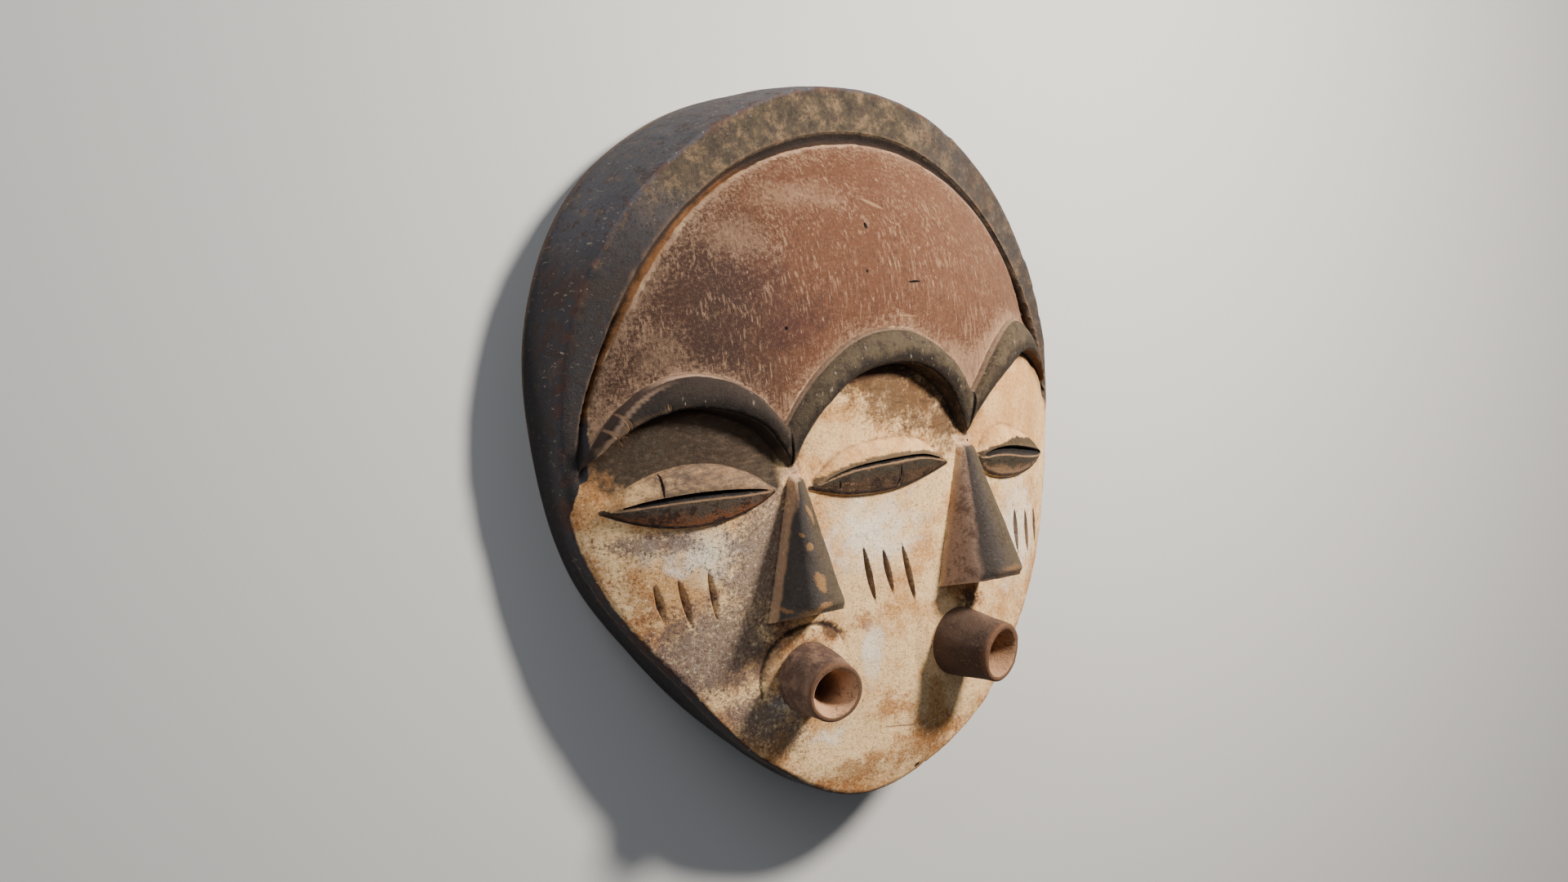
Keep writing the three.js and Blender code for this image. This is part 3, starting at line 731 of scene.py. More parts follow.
def tube_grid(side, plan):
    """The rings of a mouth, and how far along its axis each of them lies."""
    origin, axis, across, other = tube_axes(side)
    turn = np.linspace(0, 2 * np.pi, AROUND_TUBE, endpoint=False)[:, None]
    ring = np.cos(turn) * across + np.sin(turn) * other
    rows = tube_profile(tube_foot(origin, axis, ring, plan))
    grid = np.array([origin + np.reshape(radius, (-1, 1)) * ring + np.reshape(up, (-1, 1)) * axis
                     for radius, up in rows])
    grid[0, :, 2] = carved(grid[0, :, :2], plan)
    return grid, np.array([np.mean(up) for _, up in rows])


# Outer rings, rim and hollow.
def outer_rings():
    """Rings from the foot of the step over the band and down the side wall to the rim."""
    angle = np.linspace(0, 2 * np.pi, AROUND, endpoint=False)
    a = from_crown(angle)
    band, edge, foot = station(BAND_RADIUS, a), station(EDGE_RADIUS, a), step_foot(a)
    round_, rim = station(EDGE_ROUND, a), station(RIM_RADIUS, a)
    crown = [foot] + [mix(foot, band, t) for t in STEP_RINGS]
    crown += [mix(band, edge - round_, t) for t in np.linspace(0, 1, BAND_RINGS + 1)[1:]]
    crown += [edge - round_ + round_ * math.sin(math.radians(t)) for t in EDGE_BENDS]
    last = len(crown) - 1
    jaw = [edge - round_ + round_ * math.sin(math.pi / 2 * k / last) for k in range(last + 1)]
    rows = []
    for upper, lower in zip(crown, jaw):
        plan = plan_point(angle, mix(upper, lower, jaw_share(a)))
        rows.append(np.column_stack([plan, ground(plan)]))
    edge_height = rows[-1][:, 2]
    for t in np.linspace(0, 1, WALL_RINGS + 1)[1:]:
        radius = mix(edge, rim, t) + WALL_BULGE * math.sin(math.pi * t)
        rows.append(np.column_stack([plan_point(angle, radius), edge_height * (1 - t)]))
    return np.array(rows)


def hollow_rings(around):
    """Rings from the rim's inner edge up the hollow, closer together where it is steep."""
    angle = np.linspace(0, 2 * np.pi, around, endpoint=False)
    rim = station(RIM_RADIUS, from_crown(angle)) - RIM_WIDTH
    rows = []
    for share in np.cos(np.linspace(0, np.pi / 2, HOLLOW_RINGS + 1)[:-1]) ** 0.55:
        plan = plan_point(angle, rim * share)
        ceiling = face_height(*plan.T) - FACE_THICKNESS
        rows.append(np.column_stack([plan, ceiling * math.sqrt(1 - share ** HOLLOW_POWER)]))
    return np.array(rows)


class Surface:
    """Vertices and triangles of one closed skin, with the part of the carving each belongs to."""

    FACE, WALL, HOLLOW, NOSE, TUBE = range(5)

    def __init__(self):
        self.points, self.part, self.run, self.faces = [], [], [], []
        self.count = 0

    def add(self, points, part, run=0.0):
        points = np.asarray(points, float).reshape(-1, 3)
        self.points.append(points)
        self.part.append(np.full(len(points), part))
        self.run.append(np.broadcast_to(np.asarray(run, float), len(points)))
        self.count += len(points)
        return np.arange(self.count - len(points), self.count)

    def quads(self, index, closed):
        """Triangles over a grid of vertices, closed where its last column meets its first."""
        right = np.roll(index, -1, axis=1) if closed else index[:, 1:]
        left = index if closed else index[:, :-1]
        a, b, c, d = left[:-1], right[:-1], right[1:], left[1:]
        for triangle in ((a, b, c), (a, c, d)):
            three = np.stack([side.ravel() for side in triangle], axis=1)
            keep = (three[:, 0] != three[:, 1]) & (three[:, 1] != three[:, 2]) & (three[:, 2] != three[:, 0])
            self.faces.append(three[keep])

    def patch(self, grid, index, part, run=None, closed=False):
        """A grid of points, of which those with an index are there already."""
        new = index < 0
        given = 0.0 if run is None else np.broadcast_to(run, new.shape)[new]
        index[new] = self.add(grid[new], part, given)
        self.quads(index, closed)

    def cap(self, ring, middle, part, run=0.0):
        """Triangles from a ring to one vertex in its middle."""
        centre = np.broadcast_to(self.add(middle, part, run), len(ring))
        self.faces.append(np.stack([ring, np.roll(ring, -1), centre], axis=1))


def lattice(spacing):
    """Plan points at the corners of even triangles."""
    rows = np.arange(-PLAN_REACH, PLAN_REACH, spacing * math.sqrt(3) / 2)
    columns = np.arange(-PLAN_REACH, PLAN_REACH, spacing)
    x, y = np.meshgrid(columns, rows)
    x[1::2] += spacing / 2
    return np.stack([x.ravel(), y.ravel() + MIDDLE_Y], axis=1)


def runs_kept(keep, closed):
    """Stretches of a line whose points are kept, as lists of numbers."""
    order = list(range(len(keep))) + ([0] if closed else [])
    runs, run = [], []
    for k in order:
        if keep[k]:
            run.append(k)
        elif run:
            runs.append(run)
            run = []
    return [r for r in runs + [run] if len(r) > 1]


def on_face(points, holes, from_edge, from_hole):
    """Which plan points lie on the face, that far from its edge and from noses and mouths."""
    angle, radius = plan_angle(points)
    keep = radius < edge_of_plan(angle) - from_edge
    for hole in holes:
        keep &= inside_distance(points, hole) < -from_hole
    return keep


class Layout:
    """Plan points of the face, and the edges that its triangles keep to."""

    def __init__(self):
        self.points, self.edges, self.count = [], [], 0

    def line(self, points, closed):
        ids = np.arange(self.count, self.count + len(points))
        self.points.append(points)
        self.edges += list(zip(ids[:-1], ids[1:]))
        if closed:
            self.edges.append((ids[-1], ids[0]))
        self.count += len(points)

    def carved_lines(self, lines, holes):
        for line, closed in lines:
            keep = on_face(line, holes, LINE_FROM_EDGE, LINE_FROM_HOLE)
            for run in runs_kept(keep, closed):
                ring = run[0] == run[-1]
                self.line(line[run[:-1] if ring else run], ring)

    def fill(self, holes):
        """Even points between the lines, fine near them and coarser farther off."""
        tree = kdtree.KDTree(self.count)
        for k, (x, y) in enumerate(np.concatenate(self.points)):
            tree.insert((x, y, 0), k)
        tree.balance()
        for spacing, near, far in ((FINE, CLOSEST, NEAR_FEATURE), (COARSE, NEAR_FEATURE, np.inf)):
            grid = lattice(spacing)
            grid = grid[on_face(grid, holes, FILL_CLEAR, FILL_CLEAR)]
            away = np.array([tree.find((x, y, 0))[2] for x, y in grid])
            self.points.append(grid[(away >= near) & (away < far)])

    def triangles(self, holes):
        """Vertices in plan, triangles outside the holes, and the given points at each vertex."""
        flat = np.concatenate(self.points)
        corners = [Vector(p) for p in flat]
        edges = [(int(a), int(b)) for a, b in self.edges]
        verts, _, faces, sources, _, _ = geometry.delaunay_2d_cdt(corners, edges, [], 1, 1e-4)
        plane = np.array([flat[min(ids)] if ids else tuple(v) for v, ids in zip(verts, sources)])
        faces = np.array(faces)
        middle = plane[faces].mean(axis=1)
        keep = np.ones(len(faces), bool)
        for hole in holes:
            keep &= inside_distance(middle, hole) <= 0
        return plane, faces[keep], sources


def lay_out(surface, plan, borders):
    """The face as triangles between its borders; gives back the vertices on each border."""
    holes = borders[1:]
    layout = Layout()
    for border in borders:
        layout.line(border, closed=True)
    border_total = layout.count
    layout.carved_lines(plan.lines, holes)
    layout.fill(holes)
    plane, faces, sources = layout.triangles(holes)
    ids = surface.add(np.column_stack([plane, carved(plane, plan)]), Surface.FACE)
    surface.faces.append(ids[faces])
    found = {source: ids[k] for k, group in enumerate(sources) for source in group if source < border_total}
    given = np.array([found[k] for k in range(border_total)])
    return np.split(given, np.cumsum([len(border) for border in borders])[:-1])


def new_grid(grid, first_row=None):
    """Vertex numbers for a grid: none given yet, but for its first row."""
    index = np.full(grid.shape[:2], -1)
    if first_row is not None:
        index[0] = first_row
    return index


def closed_skin(plan):
    """The whole mask: face, then band and wall, noses, mouths, rim and hollow."""
    surface = Surface()
    rings = outer_rings()
    rings[0, :, 2] = carved(rings[0, :, :2], plan)
    noses = [nose_grid(side, plan) for side in (-1, 1)]
    tubes = [tube_grid(side, plan) for side in (-1, 1)]
    borders = [rings[0, :, :2]] + [nose_loop(grid)[:, :2] for grid in noses]
    borders += [grid[0, :, :2] for grid, _ in tubes]
    given = lay_out(surface, plan, borders)
    index = new_grid(rings, given[0])
    surface.patch(rings, index, Surface.WALL, closed=True)
    rim = index[-1]
    for grid, loop in zip(noses, given[1:3]):
        index = new_grid(grid)
        place_nose_loop(index, loop)
        surface.patch(grid, index, Surface.NOSE, np.linspace(-1, 1, grid.shape[1]))
    for (grid, run), loop in zip(tubes, given[3:5]):
        index = new_grid(grid, loop)
        surface.patch(grid, index, Surface.TUBE, run[:, None], closed=True)
        surface.cap(index[-1], grid[-1].mean(axis=0), Surface.TUBE, run[-1])
    close_back(surface, rim)
    return surface


def close_back(surface, rim):
    """The flat rim and the hollow behind the face."""
    per = 4  # vertices on the rim's outer edge to one on its inner edge
    rings = hollow_rings(len(rim) // per)
    index = new_grid(rings)
    surface.patch(rings, index, Surface.HOLLOW, closed=True)
    inner = index[0]
    ahead = np.roll(inner, -1)
    stretch = rim.reshape(-1, per)
    after = np.roll(rim, -1).reshape(-1, per)
    for k in range(per):
        corner = inner if k < per // 2 else ahead
        surface.faces.append(np.stack([stretch[:, k], after[:, k], corner], axis=1))
    surface.faces.append(np.stack([stretch[:, per // 2], ahead, inner], axis=1))
    surface.cap(index[-1], rings[-1].mean(axis=0), Surface.HOLLOW)


def weathered(points, normals, part):
    """Hand work and wear: broad unevenness, tool marks and small chips."""
    broad = 0.32 * lattice_noise(points, 17, 1) + 0.17 * lattice_noise(points, 7, 2)
    fine = 0.06 * lattice_noise(points, 2.8, 3)
    amount = np.array(UNEVENNESS)[part]
    chips = smooth((lattice_noise(points, 6, 4) - 0.42) / 0.3) * np.array(CHIP_DEPTH)[part]
    push = amount * (broad + fine) - chips
    return points + normals * (push * smooth(points[:, 2] / RIM_CALM))[:, None]


# What the finish needs to know at each vertex, as millimetres inside or outside a zone.
def crown_zones(points, part, plan):
    """Band and hair, the wall of the forehead panel, and how far down and in a vertex lies."""
    angle, radius = plan_angle(points[:, :2])
    a = from_crown(angle)
    band, edge = station(BAND_RADIUS, a), station(EDGE_RADIUS, a)
    wall = part == Surface.WALL
    below = ground(plan_point(angle, edge)) - points[:, 2]
    hair = mix(radius - edge + OVER_JAW, radius - band + OVER_BAND, ramp(np.degrees(a), *HAIR_END))
    hair = np.where(wall & (below > -0.01), np.maximum(hair, OVER_JAW + below), hair)
    groove = radius - panel_edge(angle) - 12 * ramp(np.degrees(a), *GROOVE_END)
    outside = (part != Surface.FACE) & ~wall
    return {
        "hair": np.where(outside, FAR_OUTSIDE, hair),
        "groove": np.where(outside, FAR_OUTSIDE, groove),
        "wall_down": np.where(wall, below, FAR_OUTSIDE),
        "drop": edge - radius,
        "forehead": inside_distance(points[:, :2], plan.forehead, 25),
    }


def drawn_zones(flat, face, plan):
    """How far inside the brows, sockets, eyes and cuts a vertex lies, and from their lines."""
    outlines = {
        "brow": [brow["outline"] for brow in plan.brows],
        "socket": plan.sockets,
        "lid": [eye["outline"] for eye in plan.eyes],
        "slit": [eye["slit"] for eye in plan.eyes],
        "scar": [cut["outline"] for cut in plan.scars],
        "crack": [cut["outline"] for cut in plan.cracks],
        "scratch": [cut["outline"] for cut in plan.scratches],
    }
    lines = {
        "brow_top": [brow["upper"] for brow in plan.brows],
        "brow_foot": [brow["lower"] for brow in plan.brows],
        "slit_away": [eye["keel"] for eye in plan.eyes],
    }
    skin = {}
    for name, group in outlines.items():
        inside = np.max([inside_distance(flat, outline) for outline in group], axis=0)
        skin[name] = np.where(face, inside, FAR_OUTSIDE)
    for name, group in lines.items():
        skin[name] = np.min([line_distance(flat, line, 20)[0] for line in group], axis=0)
    skin["lid_across"] = np.zeros(len(flat))
    for eye in plan.eyes:
        _, inside, w = lid_height(flat, eye)
        skin["lid_across"][inside] = w[inside] / eye["meeting"] - 1
    return skin


def nose_and_mouth_zones(points, part, run):
    """Height and place on a nose, place along a mouth, its bore and the ledge round it."""
    flat = points[:, :2]
    nose, tube = part == Surface.NOSE, part == Surface.TUBE
    crease = np.zeros(len(flat))
    for side in (-1, 1):
        past, crisp = ledge(flat, side)
        crease = np.maximum(crease, crisp * (1 - smooth(np.abs(past - CREASE_AWAY) / CREASE_WIDTH)))
    return {
        "nose": np.where(nose, points[:, 2] - face_height(*flat.T) + 0.3, NOT_HERE),
        "nose_across": np.where(nose, run, 0),
        "tube": np.where(tube, run + 0.3, NOT_HERE),
        "bore": np.where(tube & bore_vertices(points), 1.0, 0.0),
        "crease": np.where(part == Surface.FACE, crease, 0),
        "back": np.where(part == Surface.HOLLOW, 1.0, -1.0),
    }


def bore_vertices(points):
    """Vertices within the mouths' lips: those nearer the axis than the lip's crest."""
    inside = np.zeros(len(points), bool)
    for side in (-1, 1):
        origin, axis, _, _ = tube_axes(side)
        away = points - origin
        along_axis = away @ axis
        from_axis = np.linalg.norm(away - along_axis[:, None] * axis, axis=1)
        inside |= (from_axis < BORE_RADIUS[1] + 0.1) & (along_axis > 1) & (along_axis < MOUTH_LENGTH + 1)
    return inside


def stain_field(warped, dabs):
    """How far inside any of some soft-edged patches a point is: 1 at a middle, 0 at an edge."""
    field = np.full(len(warped), -1.0)
    for x, y, half_width, half_length, turn in dabs:
        c, s = math.cos(math.radians(turn)), math.sin(math.radians(turn))
        u, v = warped[:, 0] - x, warped[:, 1] - y
        reach = np.hypot((u * c + v * s) / half_width, (v * c - u * s) / half_length)
        field = np.maximum(field, 1 - reach)
    return field


def zones(points, part, run, plan):
    skin = crown_zones(points, part, plan)
    skin.update(drawn_zones(points[:, :2], part == Surface.FACE, plan))
    skin.update(nose_and_mouth_zones(points, part, run))
    warp = np.stack([lattice_noise(points, WARP_SIZE, seed) for seed in WARP_SEEDS], axis=1)
    warped = points + STAIN_WARP * warp
    skin.update({name: stain_field(warped, dabs) for name, dabs in STAINS.items()})
    return skin


def carving():
    """The mask's mesh, with what the finish needs to know as values on its vertices."""
    plan = Plan()
    surface = closed_skin(plan)
    points = np.concatenate(surface.points)
    part = np.concatenate(surface.part)
    faces = np.concatenate(surface.faces)
    mesh = bpy.data.meshes.new("ritual mask")
    mesh.from_pydata(points.tolist(), [], faces.tolist())
    turn_outward(mesh)
    normals = np.empty(len(points) * 3, np.float32)
    mesh.vertices.foreach_get("normal", normals)
    normals = normals.reshape(-1, 3).astype(float)
    placed = (weathered(points, normals, part) - [0, BOX_MIDDLE_Y, 0]) * MM
    mesh.vertices.foreach_set("co", placed.ravel().astype(np.float32))
    mesh.shade_smooth()
    mesh.set_sharp_from_angle(angle=math.radians(SHARP_ANGLE))
    mesh.update()
    marks = zones(points, part, np.concatenate(surface.run), plan)
    marks["hollow"] = hollowness(mesh, normals)
    for name, values in marks.items():
        layer = mesh.attributes.new(name, "FLOAT", "POINT")
        layer.data.foreach_set("value", values.astype(np.float32))
    piece = bpy.data.objects.new("carved_mask", mesh)
    bpy.context.scene.collection.objects.link(piece)
    return piece


def hollowness(mesh, normals):
    """How far each vertex lies below its neighbours, in hollows, or above them, on edges."""
    pairs = np.empty(len(mesh.edges) * 2, np.int32)
    mesh.edges.foreach_get("vertices", pairs)
    place = np.empty(len(mesh.vertices) * 3, np.float32)
    mesh.vertices.foreach_get("co", place)
    place, pairs = place.reshape(-1, 3), pairs.reshape(-1, 2)
    total, count = np.zeros(len(place)), np.bincount(pairs.ravel(), minlength=len(place))
    for here, there in (pairs.T, pairs.T[::-1]):
        step = place[there] - place[here]
        rise = np.sum(step * normals[here], axis=1) / np.maximum(np.linalg.norm(step, axis=1), 1e-9)
        total += np.bincount(here, rise, len(place))
    value = total / count
    for _ in range(2):
        around = np.bincount(pairs[:, 0], value[pairs[:, 1]], len(place))
        around += np.bincount(pairs[:, 1], value[pairs[:, 0]], len(place))
        value = 0.4 * value + 0.6 * around / count
    return value


def turn_outward(mesh):
    """Makes every face of the closed skin look outward."""
    work = bmesh.new()
    work.from_mesh(mesh)
    bmesh.ops.recalc_face_normals(work, faces=work.faces)
    work.to_mesh(mesh)
    work.free()


# Paint and wood colours, some of them standing in for painted shade, sheen and light, as seen in daylight, 0
# to 255.
KAOLIN, KAOLIN_WARM, CHALK = (248, 206, 148), (216, 160, 100), (255, 244, 222)
OCHRE, STAIN_AND_SHADE_BROWN, SHADE_AND_GRIME, SHADOW_GREY = (164, 100, 46), (70, 46, 29), (36, 26, 21), (124, 105, 96)
TERRACOTTA, MAROON, DUST, PINK_CREAM = (99, 60, 38), (72, 38, 30), (166, 130, 96), (216, 176, 144)
DUSK_BROWN, FORE_DUST, FORE_FLECK, BEVEL_PINK = (52, 36, 29), (172, 137, 107), (194, 156, 126), (80, 60, 52)
HAIR_BLACK, HAIR_BROWN, FLECK, RIDGE_RED = (52, 50, 53), (60, 45, 40), (166, 150, 132), (90, 52, 40)
CHARCOAL, SOOT_BROWN, SHEEN_GREY = (68, 61, 56), (54, 40, 33), (90, 88, 94)
OLIVE, OLIVE_DARK, BAND_TAN = (66, 56, 41), (30, 25, 20), (119, 96, 69)
STRIP_ORANGE, STRIP_BROWN = (140, 92, 52), (62, 42, 30)
BROW_GREY, BROW_OLIVE, BROW_DARK = (52, 42, 35), (84, 71, 52), (24, 19, 16)
LID_GREY, LID_BROWN, LID_OLIVE, UPPER_LID = (82, 68, 56), (122, 75, 44), (62, 54, 41), (108, 87, 72)
SOCKET_BROWN, BLACK, SLIT_SHADE_GREY = (48, 40, 32), (8, 7, 7), (36, 32, 30)
NOSE_OLIVE, FLANK_BROWN, WORN_TAN, SCAR_BROWN = (88, 75, 56), (158, 130, 110), (166, 122, 76), (88, 58, 44)
TUBE_BROWN, TUBE_DARK, LIP_TAN, BORE_PINK = (132, 102, 82), (84, 62, 53), (108, 74, 52), (206, 158, 118)
BARE_WOOD, BARE_WOOD_DARK = (158, 120, 80), (112, 78, 52)

LEFT_GAP, RIGHT_GAP = -50.0, 58.0  # between the eyes, where the paint changes
CLAY_ROUGHNESS, HAIR_SHEEN, SHINE = 0.8, 0.14, 0.3
GRAIN_STRENGTH, GRAIN_DEPTH = 0.7, 0.0015


def daylight(colour):
    """A colour as the shader takes it."""
    linear = [((c / 255 + 0.055) / 1.055) ** 2.4 if c > 10 else c / 255 / 12.92 for c in colour]
    return (*linear, 1.0)


class Wire:
    """A value running through the finish, which arithmetic can be written with."""

    def __init__(self, finish, socket):
        self.finish, self.socket = finish, socket

    def maths(self, operation, one, other):
        return self.finish.node("ShaderNodeMath", {"operation": operation}, {0: one, 1: other})

    def __add__(self, other):
        return self.maths("ADD", self, other)

    def __radd__(self, other):
        return self.maths("ADD", other, self)

    def __sub__(self, other):
        return self.maths("SUBTRACT", self, other)

    def __rsub__(self, other):
        return self.maths("SUBTRACT", other, self)

    def __mul__(self, other):
        return self.maths("MULTIPLY", self, other)

    def __rmul__(self, other):
        return self.maths("MULTIPLY", other, self)

    def __neg__(self):
        return self.maths("MULTIPLY", self, -1.0)

    def between(self, low, high):
        """0 below low, 1 above high and a soft change from one to the other."""
        return self.finish.node("ShaderNodeMapRange", {"interpolation_type": "SMOOTHSTEP"},
                                {"Value": self, "From Min": low, "From Max": high})

    def coat(self, colour, amount):
        """This colour with another laid over it by that amount."""
        return self.finish.blend(self, colour, amount)


class Finish:
    """A surface finish and the few ways its nodes are made.

    Its x and y are in millimetres, from the middle of the mask's box.
    """

    def __init__(self, name):
        self.material = bpy.data.materials.new(name)
        self.material.use_nodes = True
        self.tree = self.material.node_tree
        self.shader = self.tree.nodes["Principled BSDF"]
        place = self.node("ShaderNodeTexCoord", {}, {}, "Object")
        self.place = self.node("ShaderNodeVectorMath", {"operation": "SCALE"}, {0: place, "Scale": 1 / MM})
        self.x = self.node("ShaderNodeSeparateXYZ", {}, {0: self.place}, "X")
        self.y = self.node("ShaderNodeSeparateXYZ", {}, {0: self.place}, "Y")

    def node(self, kind, settings, values, output=0):
        """A node with its settings, then the values or wires of its sockets."""
        made = self.tree.nodes.new(kind)
        for name, value in settings.items():
            setattr(made, name, value)
        for key, value in values.items():
            if isinstance(value, Wire):
                self.tree.links.new(value.socket, made.inputs[key])
            else:
                made.inputs[key].default_value = value
        return Wire(self, made.outputs[output])

    def zone(self, name):
        """One of the values that the mesh carries on its vertices."""
        return self.node("ShaderNodeAttribute", {"attribute_name": name}, {}, "Fac")

    def right_of(self, place, soft):
        return (self.x - place).between(0.0, soft)

    def left_of(self, place, soft):
        return (place - self.x).between(0.0, soft)

    def right_half(self):
        """0 on the left nose and mouth, 1 on the right ones."""
        return self.x.between(-5.0, 5.0)

    def noise(self, size, detail=4.0, stretch=(1, 1, 1), roughness=0.55):
        """Noise about 0, with bumps of about that many millimetres, longer where stretched."""
        squeeze = tuple(1 / (size * s) for s in stretch)
        place = self.node("ShaderNodeVectorMath", {"operation": "MULTIPLY"}, {0: self.place, 1: squeeze})
        made = self.node("ShaderNodeTexNoise", {}, {"Vector": place, "Scale": 1.0, "Detail": detail,
                                                    "Roughness": roughness})
        return made - 0.5

    def blend(self, under, over, amount):
        under, over = (c if isinstance(c, Wire) else daylight(c) for c in (under, over))
        return self.node("ShaderNodeMix", {"data_type": "RGBA"}, {0: amount, 6: under, 7: over}, 2)

    def feed(self, name, wire):
        self.tree.links.new(wire.socket, self.shader.inputs[name])


# The paints. Each takes the finish and its noises, and gives back a colour.
def kaolin(finish, n):
    """White clay over the lower face, rubbed and stained brown, with painted shadow on the left cheek and a
    painted lit patch there.
    """
    colour = finish.blend(KAOLIN, KAOLIN_WARM, (n.broad + 0.5 * n.mottle).between(-0.1, 0.16))
    # chalk, and a painted lit patch on the left cheek
    chalk_and_lit_patch = (finish.zone("chalk_and_lit_patch") + 2.0 * n.mottle + 1.2 * n.fine).between(0.0, 0.9)
    colour = colour.coat(CHALK, chalk_and_lit_patch * 0.75)
    ochre = (finish.zone("ochre") + 2.0 * n.mottle + 1.6 * n.fine).between(-0.05, 0.75)
    colour = colour.coat(OCHRE, ochre * 0.6)
    edge = 10.0 - finish.zone("drop") + 22.0 * n.mottle + 14.0 * n.fine
    colour = colour.coat(OCHRE, edge.between(0.0, 12.0) * 0.6)
    brown = (finish.zone("brown") + 1.6 * n.mottle + 2.0 * n.fine).between(-0.1, 0.7)
    colour = colour.coat(STAIN_AND_SHADE_BROWN, brown * (0.5 + 0.35 * finish.right_of(LEFT_GAP, 8.0)))
    # painted shadow on the left cheek
    painted_shadow = (finish.zone("painted_shadow") + 1.4 * n.mottle + 2.4 * n.fine).between(-0.1, 0.6)
    colour = colour.coat(SHADOW_GREY, painted_shadow * 0.85)
    left = (-60.0 - finish.x + 30.0 * n.mottle).between(-10.0, 60.0)
    speckle = n.fine.between(0.02, 0.16) * (0.5 + 0.35 * left)
    colour = colour.coat(STAIN_AND_SHADE_BROWN, speckle)
    colour = colour.coat(CHALK, (-n.fine).between(0.04, 0.18) * (0.6 - 0.55 * brown))
    pits = finish.noise(1.3, 2).between(0.14, 0.2) * finish.noise(11, 2).between(-0.02, 0.1)
    colour = colour.coat(STAIN_AND_SHADE_BROWN, pits * 0.7)
    streaks = finish.noise(2.2, 3, (1, 7, 1)).between(0.08, 0.2) * finish.right_of(30.0, 60.0)
    return colour.coat(OCHRE, streaks * 0.5)


def forehead_paint(finish, n, inside):
    """Red-brown clay, darker on the left, dusty and flecked, with a pale line along its edge."""
    maroon = (finish.zone("maroon") + 1.4 * n.mottle).between(-0.1, 0.8)
    colour = finish.blend(TERRACOTTA, MAROON, maroon * 0.85)
    pale = (finish.x - 10.0 + 60.0 * n.broad).between(-20.0, 90.0)
    colour = colour.coat(FORE_DUST, pale * 0.08)
    # darker to the left: dark paint, and painted shade where the forehead turns away from the light
    dark_and_shade_left = (-40.0 - finish.x + 30.0 * n.broad + 16.0 * n.mottle).between(0.0, 50.0)
    colour = colour.coat(DUSK_BROWN, dark_and_shade_left * 0.72)
    dust = (finish.zone("dust") + 1.4 * n.mottle + 3.0 * n.fine).between(-0.1, 0.9)
    colour = colour.coat(FORE_DUST, dust * 0.38)
    low_right = finish.right_of(20.0, 40.0) * (60.0 - finish.y).between(0.0, 40.0)
    border = (8.0 + 14.0 * low_right - inside + 16.0 * n.mottle + 50.0 * n.fine).between(0.0, 14.0)
    colour = colour.coat(FORE_DUST, border * 0.6)
    fibre = finish.noise(1.2, 3, (1, 7, 1))
    colour = colour.coat(DUSK_BROWN, (-0.02 - fibre).between(0.0, 0.12) * 0.4)
    lit = (fibre - 0.04).between(0.0, 0.1) * finish.noise(13, 3).between(-0.08, 0.1)
    colour = colour.coat(FORE_DUST, lit * 0.5)
    colour = colour.coat(FORE_DUST, n.fine.between(0.0, 0.16) * (0.28 + 0.1 * pale))
    colour = colour.coat(DUSK_BROWN, (-n.fine).between(0.03, 0.18) * 0.32)
    flecks = finish.noise(0.9, 2, (1, 6, 1)).between(0.15, 0.2) * finish.noise(17, 2).between(-0.04, 0.1)
    colour = colour.coat(FORE_FLECK, flecks * 0.7)
    line = (0.6 - inside + 0.3 * n.mottle).between(-0.4, 0.4) * finish.noise(24, 3).between(-0.2, 0.1)
    return colour.coat(PINK_CREAM, line * 0.5 * (finish.x + 116.0).between(-12.0, 8.0))


def hair_paint(finish, n):
    """Blackened band and side wall, worn through to olive and tan along the crown, with a painted sheen
    towards the top.
    """
    colour = finish.blend(HAIR_BLACK, HAIR_BROWN, (n.broad + n.mottle).between(-0.05, 0.2))
    drop, down = finish.zone("drop"), finish.zone("wall_down")
    crown = (finish.y + 0.62 * finish.x - 50.0 + 60.0 * n.broad).between(-16.0, 34.0)
    on_band = (drop + 3.0 * n.mottle).between(0.2, 2.2) * crown
    blotch = finish.noise(9, 6, roughness=0.75)
    band = finish.blend(OLIVE, BAND_TAN, blotch.between(-0.03, 0.15))
    band = band.coat(OLIVE_DARK, (-0.02 - blotch + 0.5 * n.fine).between(0.0, 0.12) * 0.7)
    colour = colour.coat(band, on_band * (1.0 - 0.45 * finish.x.between(50.0, 90.0)))
    # painted sheen: cool grey on the wall towards the crown
    top = (finish.y - 85.0 + 40.0 * n.mottle).between(0.0, 40.0) * (1.0 - on_band)
    colour = colour.coat(SHEEN_GREY, top * 0.6)
    rubbed = finish.noise(6, 6, (1, 2.0, 1), 0.75).between(0.05, 0.16)
    colour = colour.coat(BAND_TAN, rubbed * (0.2 + 0.5 * top))
    ridge = (4.0 - drop).between(0.0, 3.0) * (2.5 - down).between(0.0, 2.5)
    colour = colour.coat(RIDGE_RED, ridge * (n.mottle + 0.5 * n.fine).between(-0.06, 0.12) * 0.5)
    colour = colour.coat(HAIR_BROWN, (n.mottle + n.fine).between(0.05, 0.2) * 0.8)
    flecks = finish.noise(1.9, 5, (1, 1, 2.2), 0.65).between(0.11, 0.17)
    flecks = flecks * finish.noise(22, 3).between(-0.12, 0.1)
    colour = colour.coat(FLECK, flecks * 0.8 * (1.0 - 0.7 * on_band))
    # black specks all over, and black on the band away from the crown: dark paint and painted shade
    low_band = drop.between(0.0, 3.0) * (1.0 - crown)
    colour = colour.coat(BLACK, n.fine.between(0.02, 0.16) * 0.4 + low_band * 0.6)
    past = down - 7.0 + 3.0 * n.broad
    seam = (1.0 + 5.0 * n.mottle) * (past + 0.5).between(-0.5, 0.0) * (0.5 - past).between(-0.3, 0.1)
    return colour.coat(DUST, seam * (-20.0 - finish.y).between(0.0, 30.0) * 0.3)


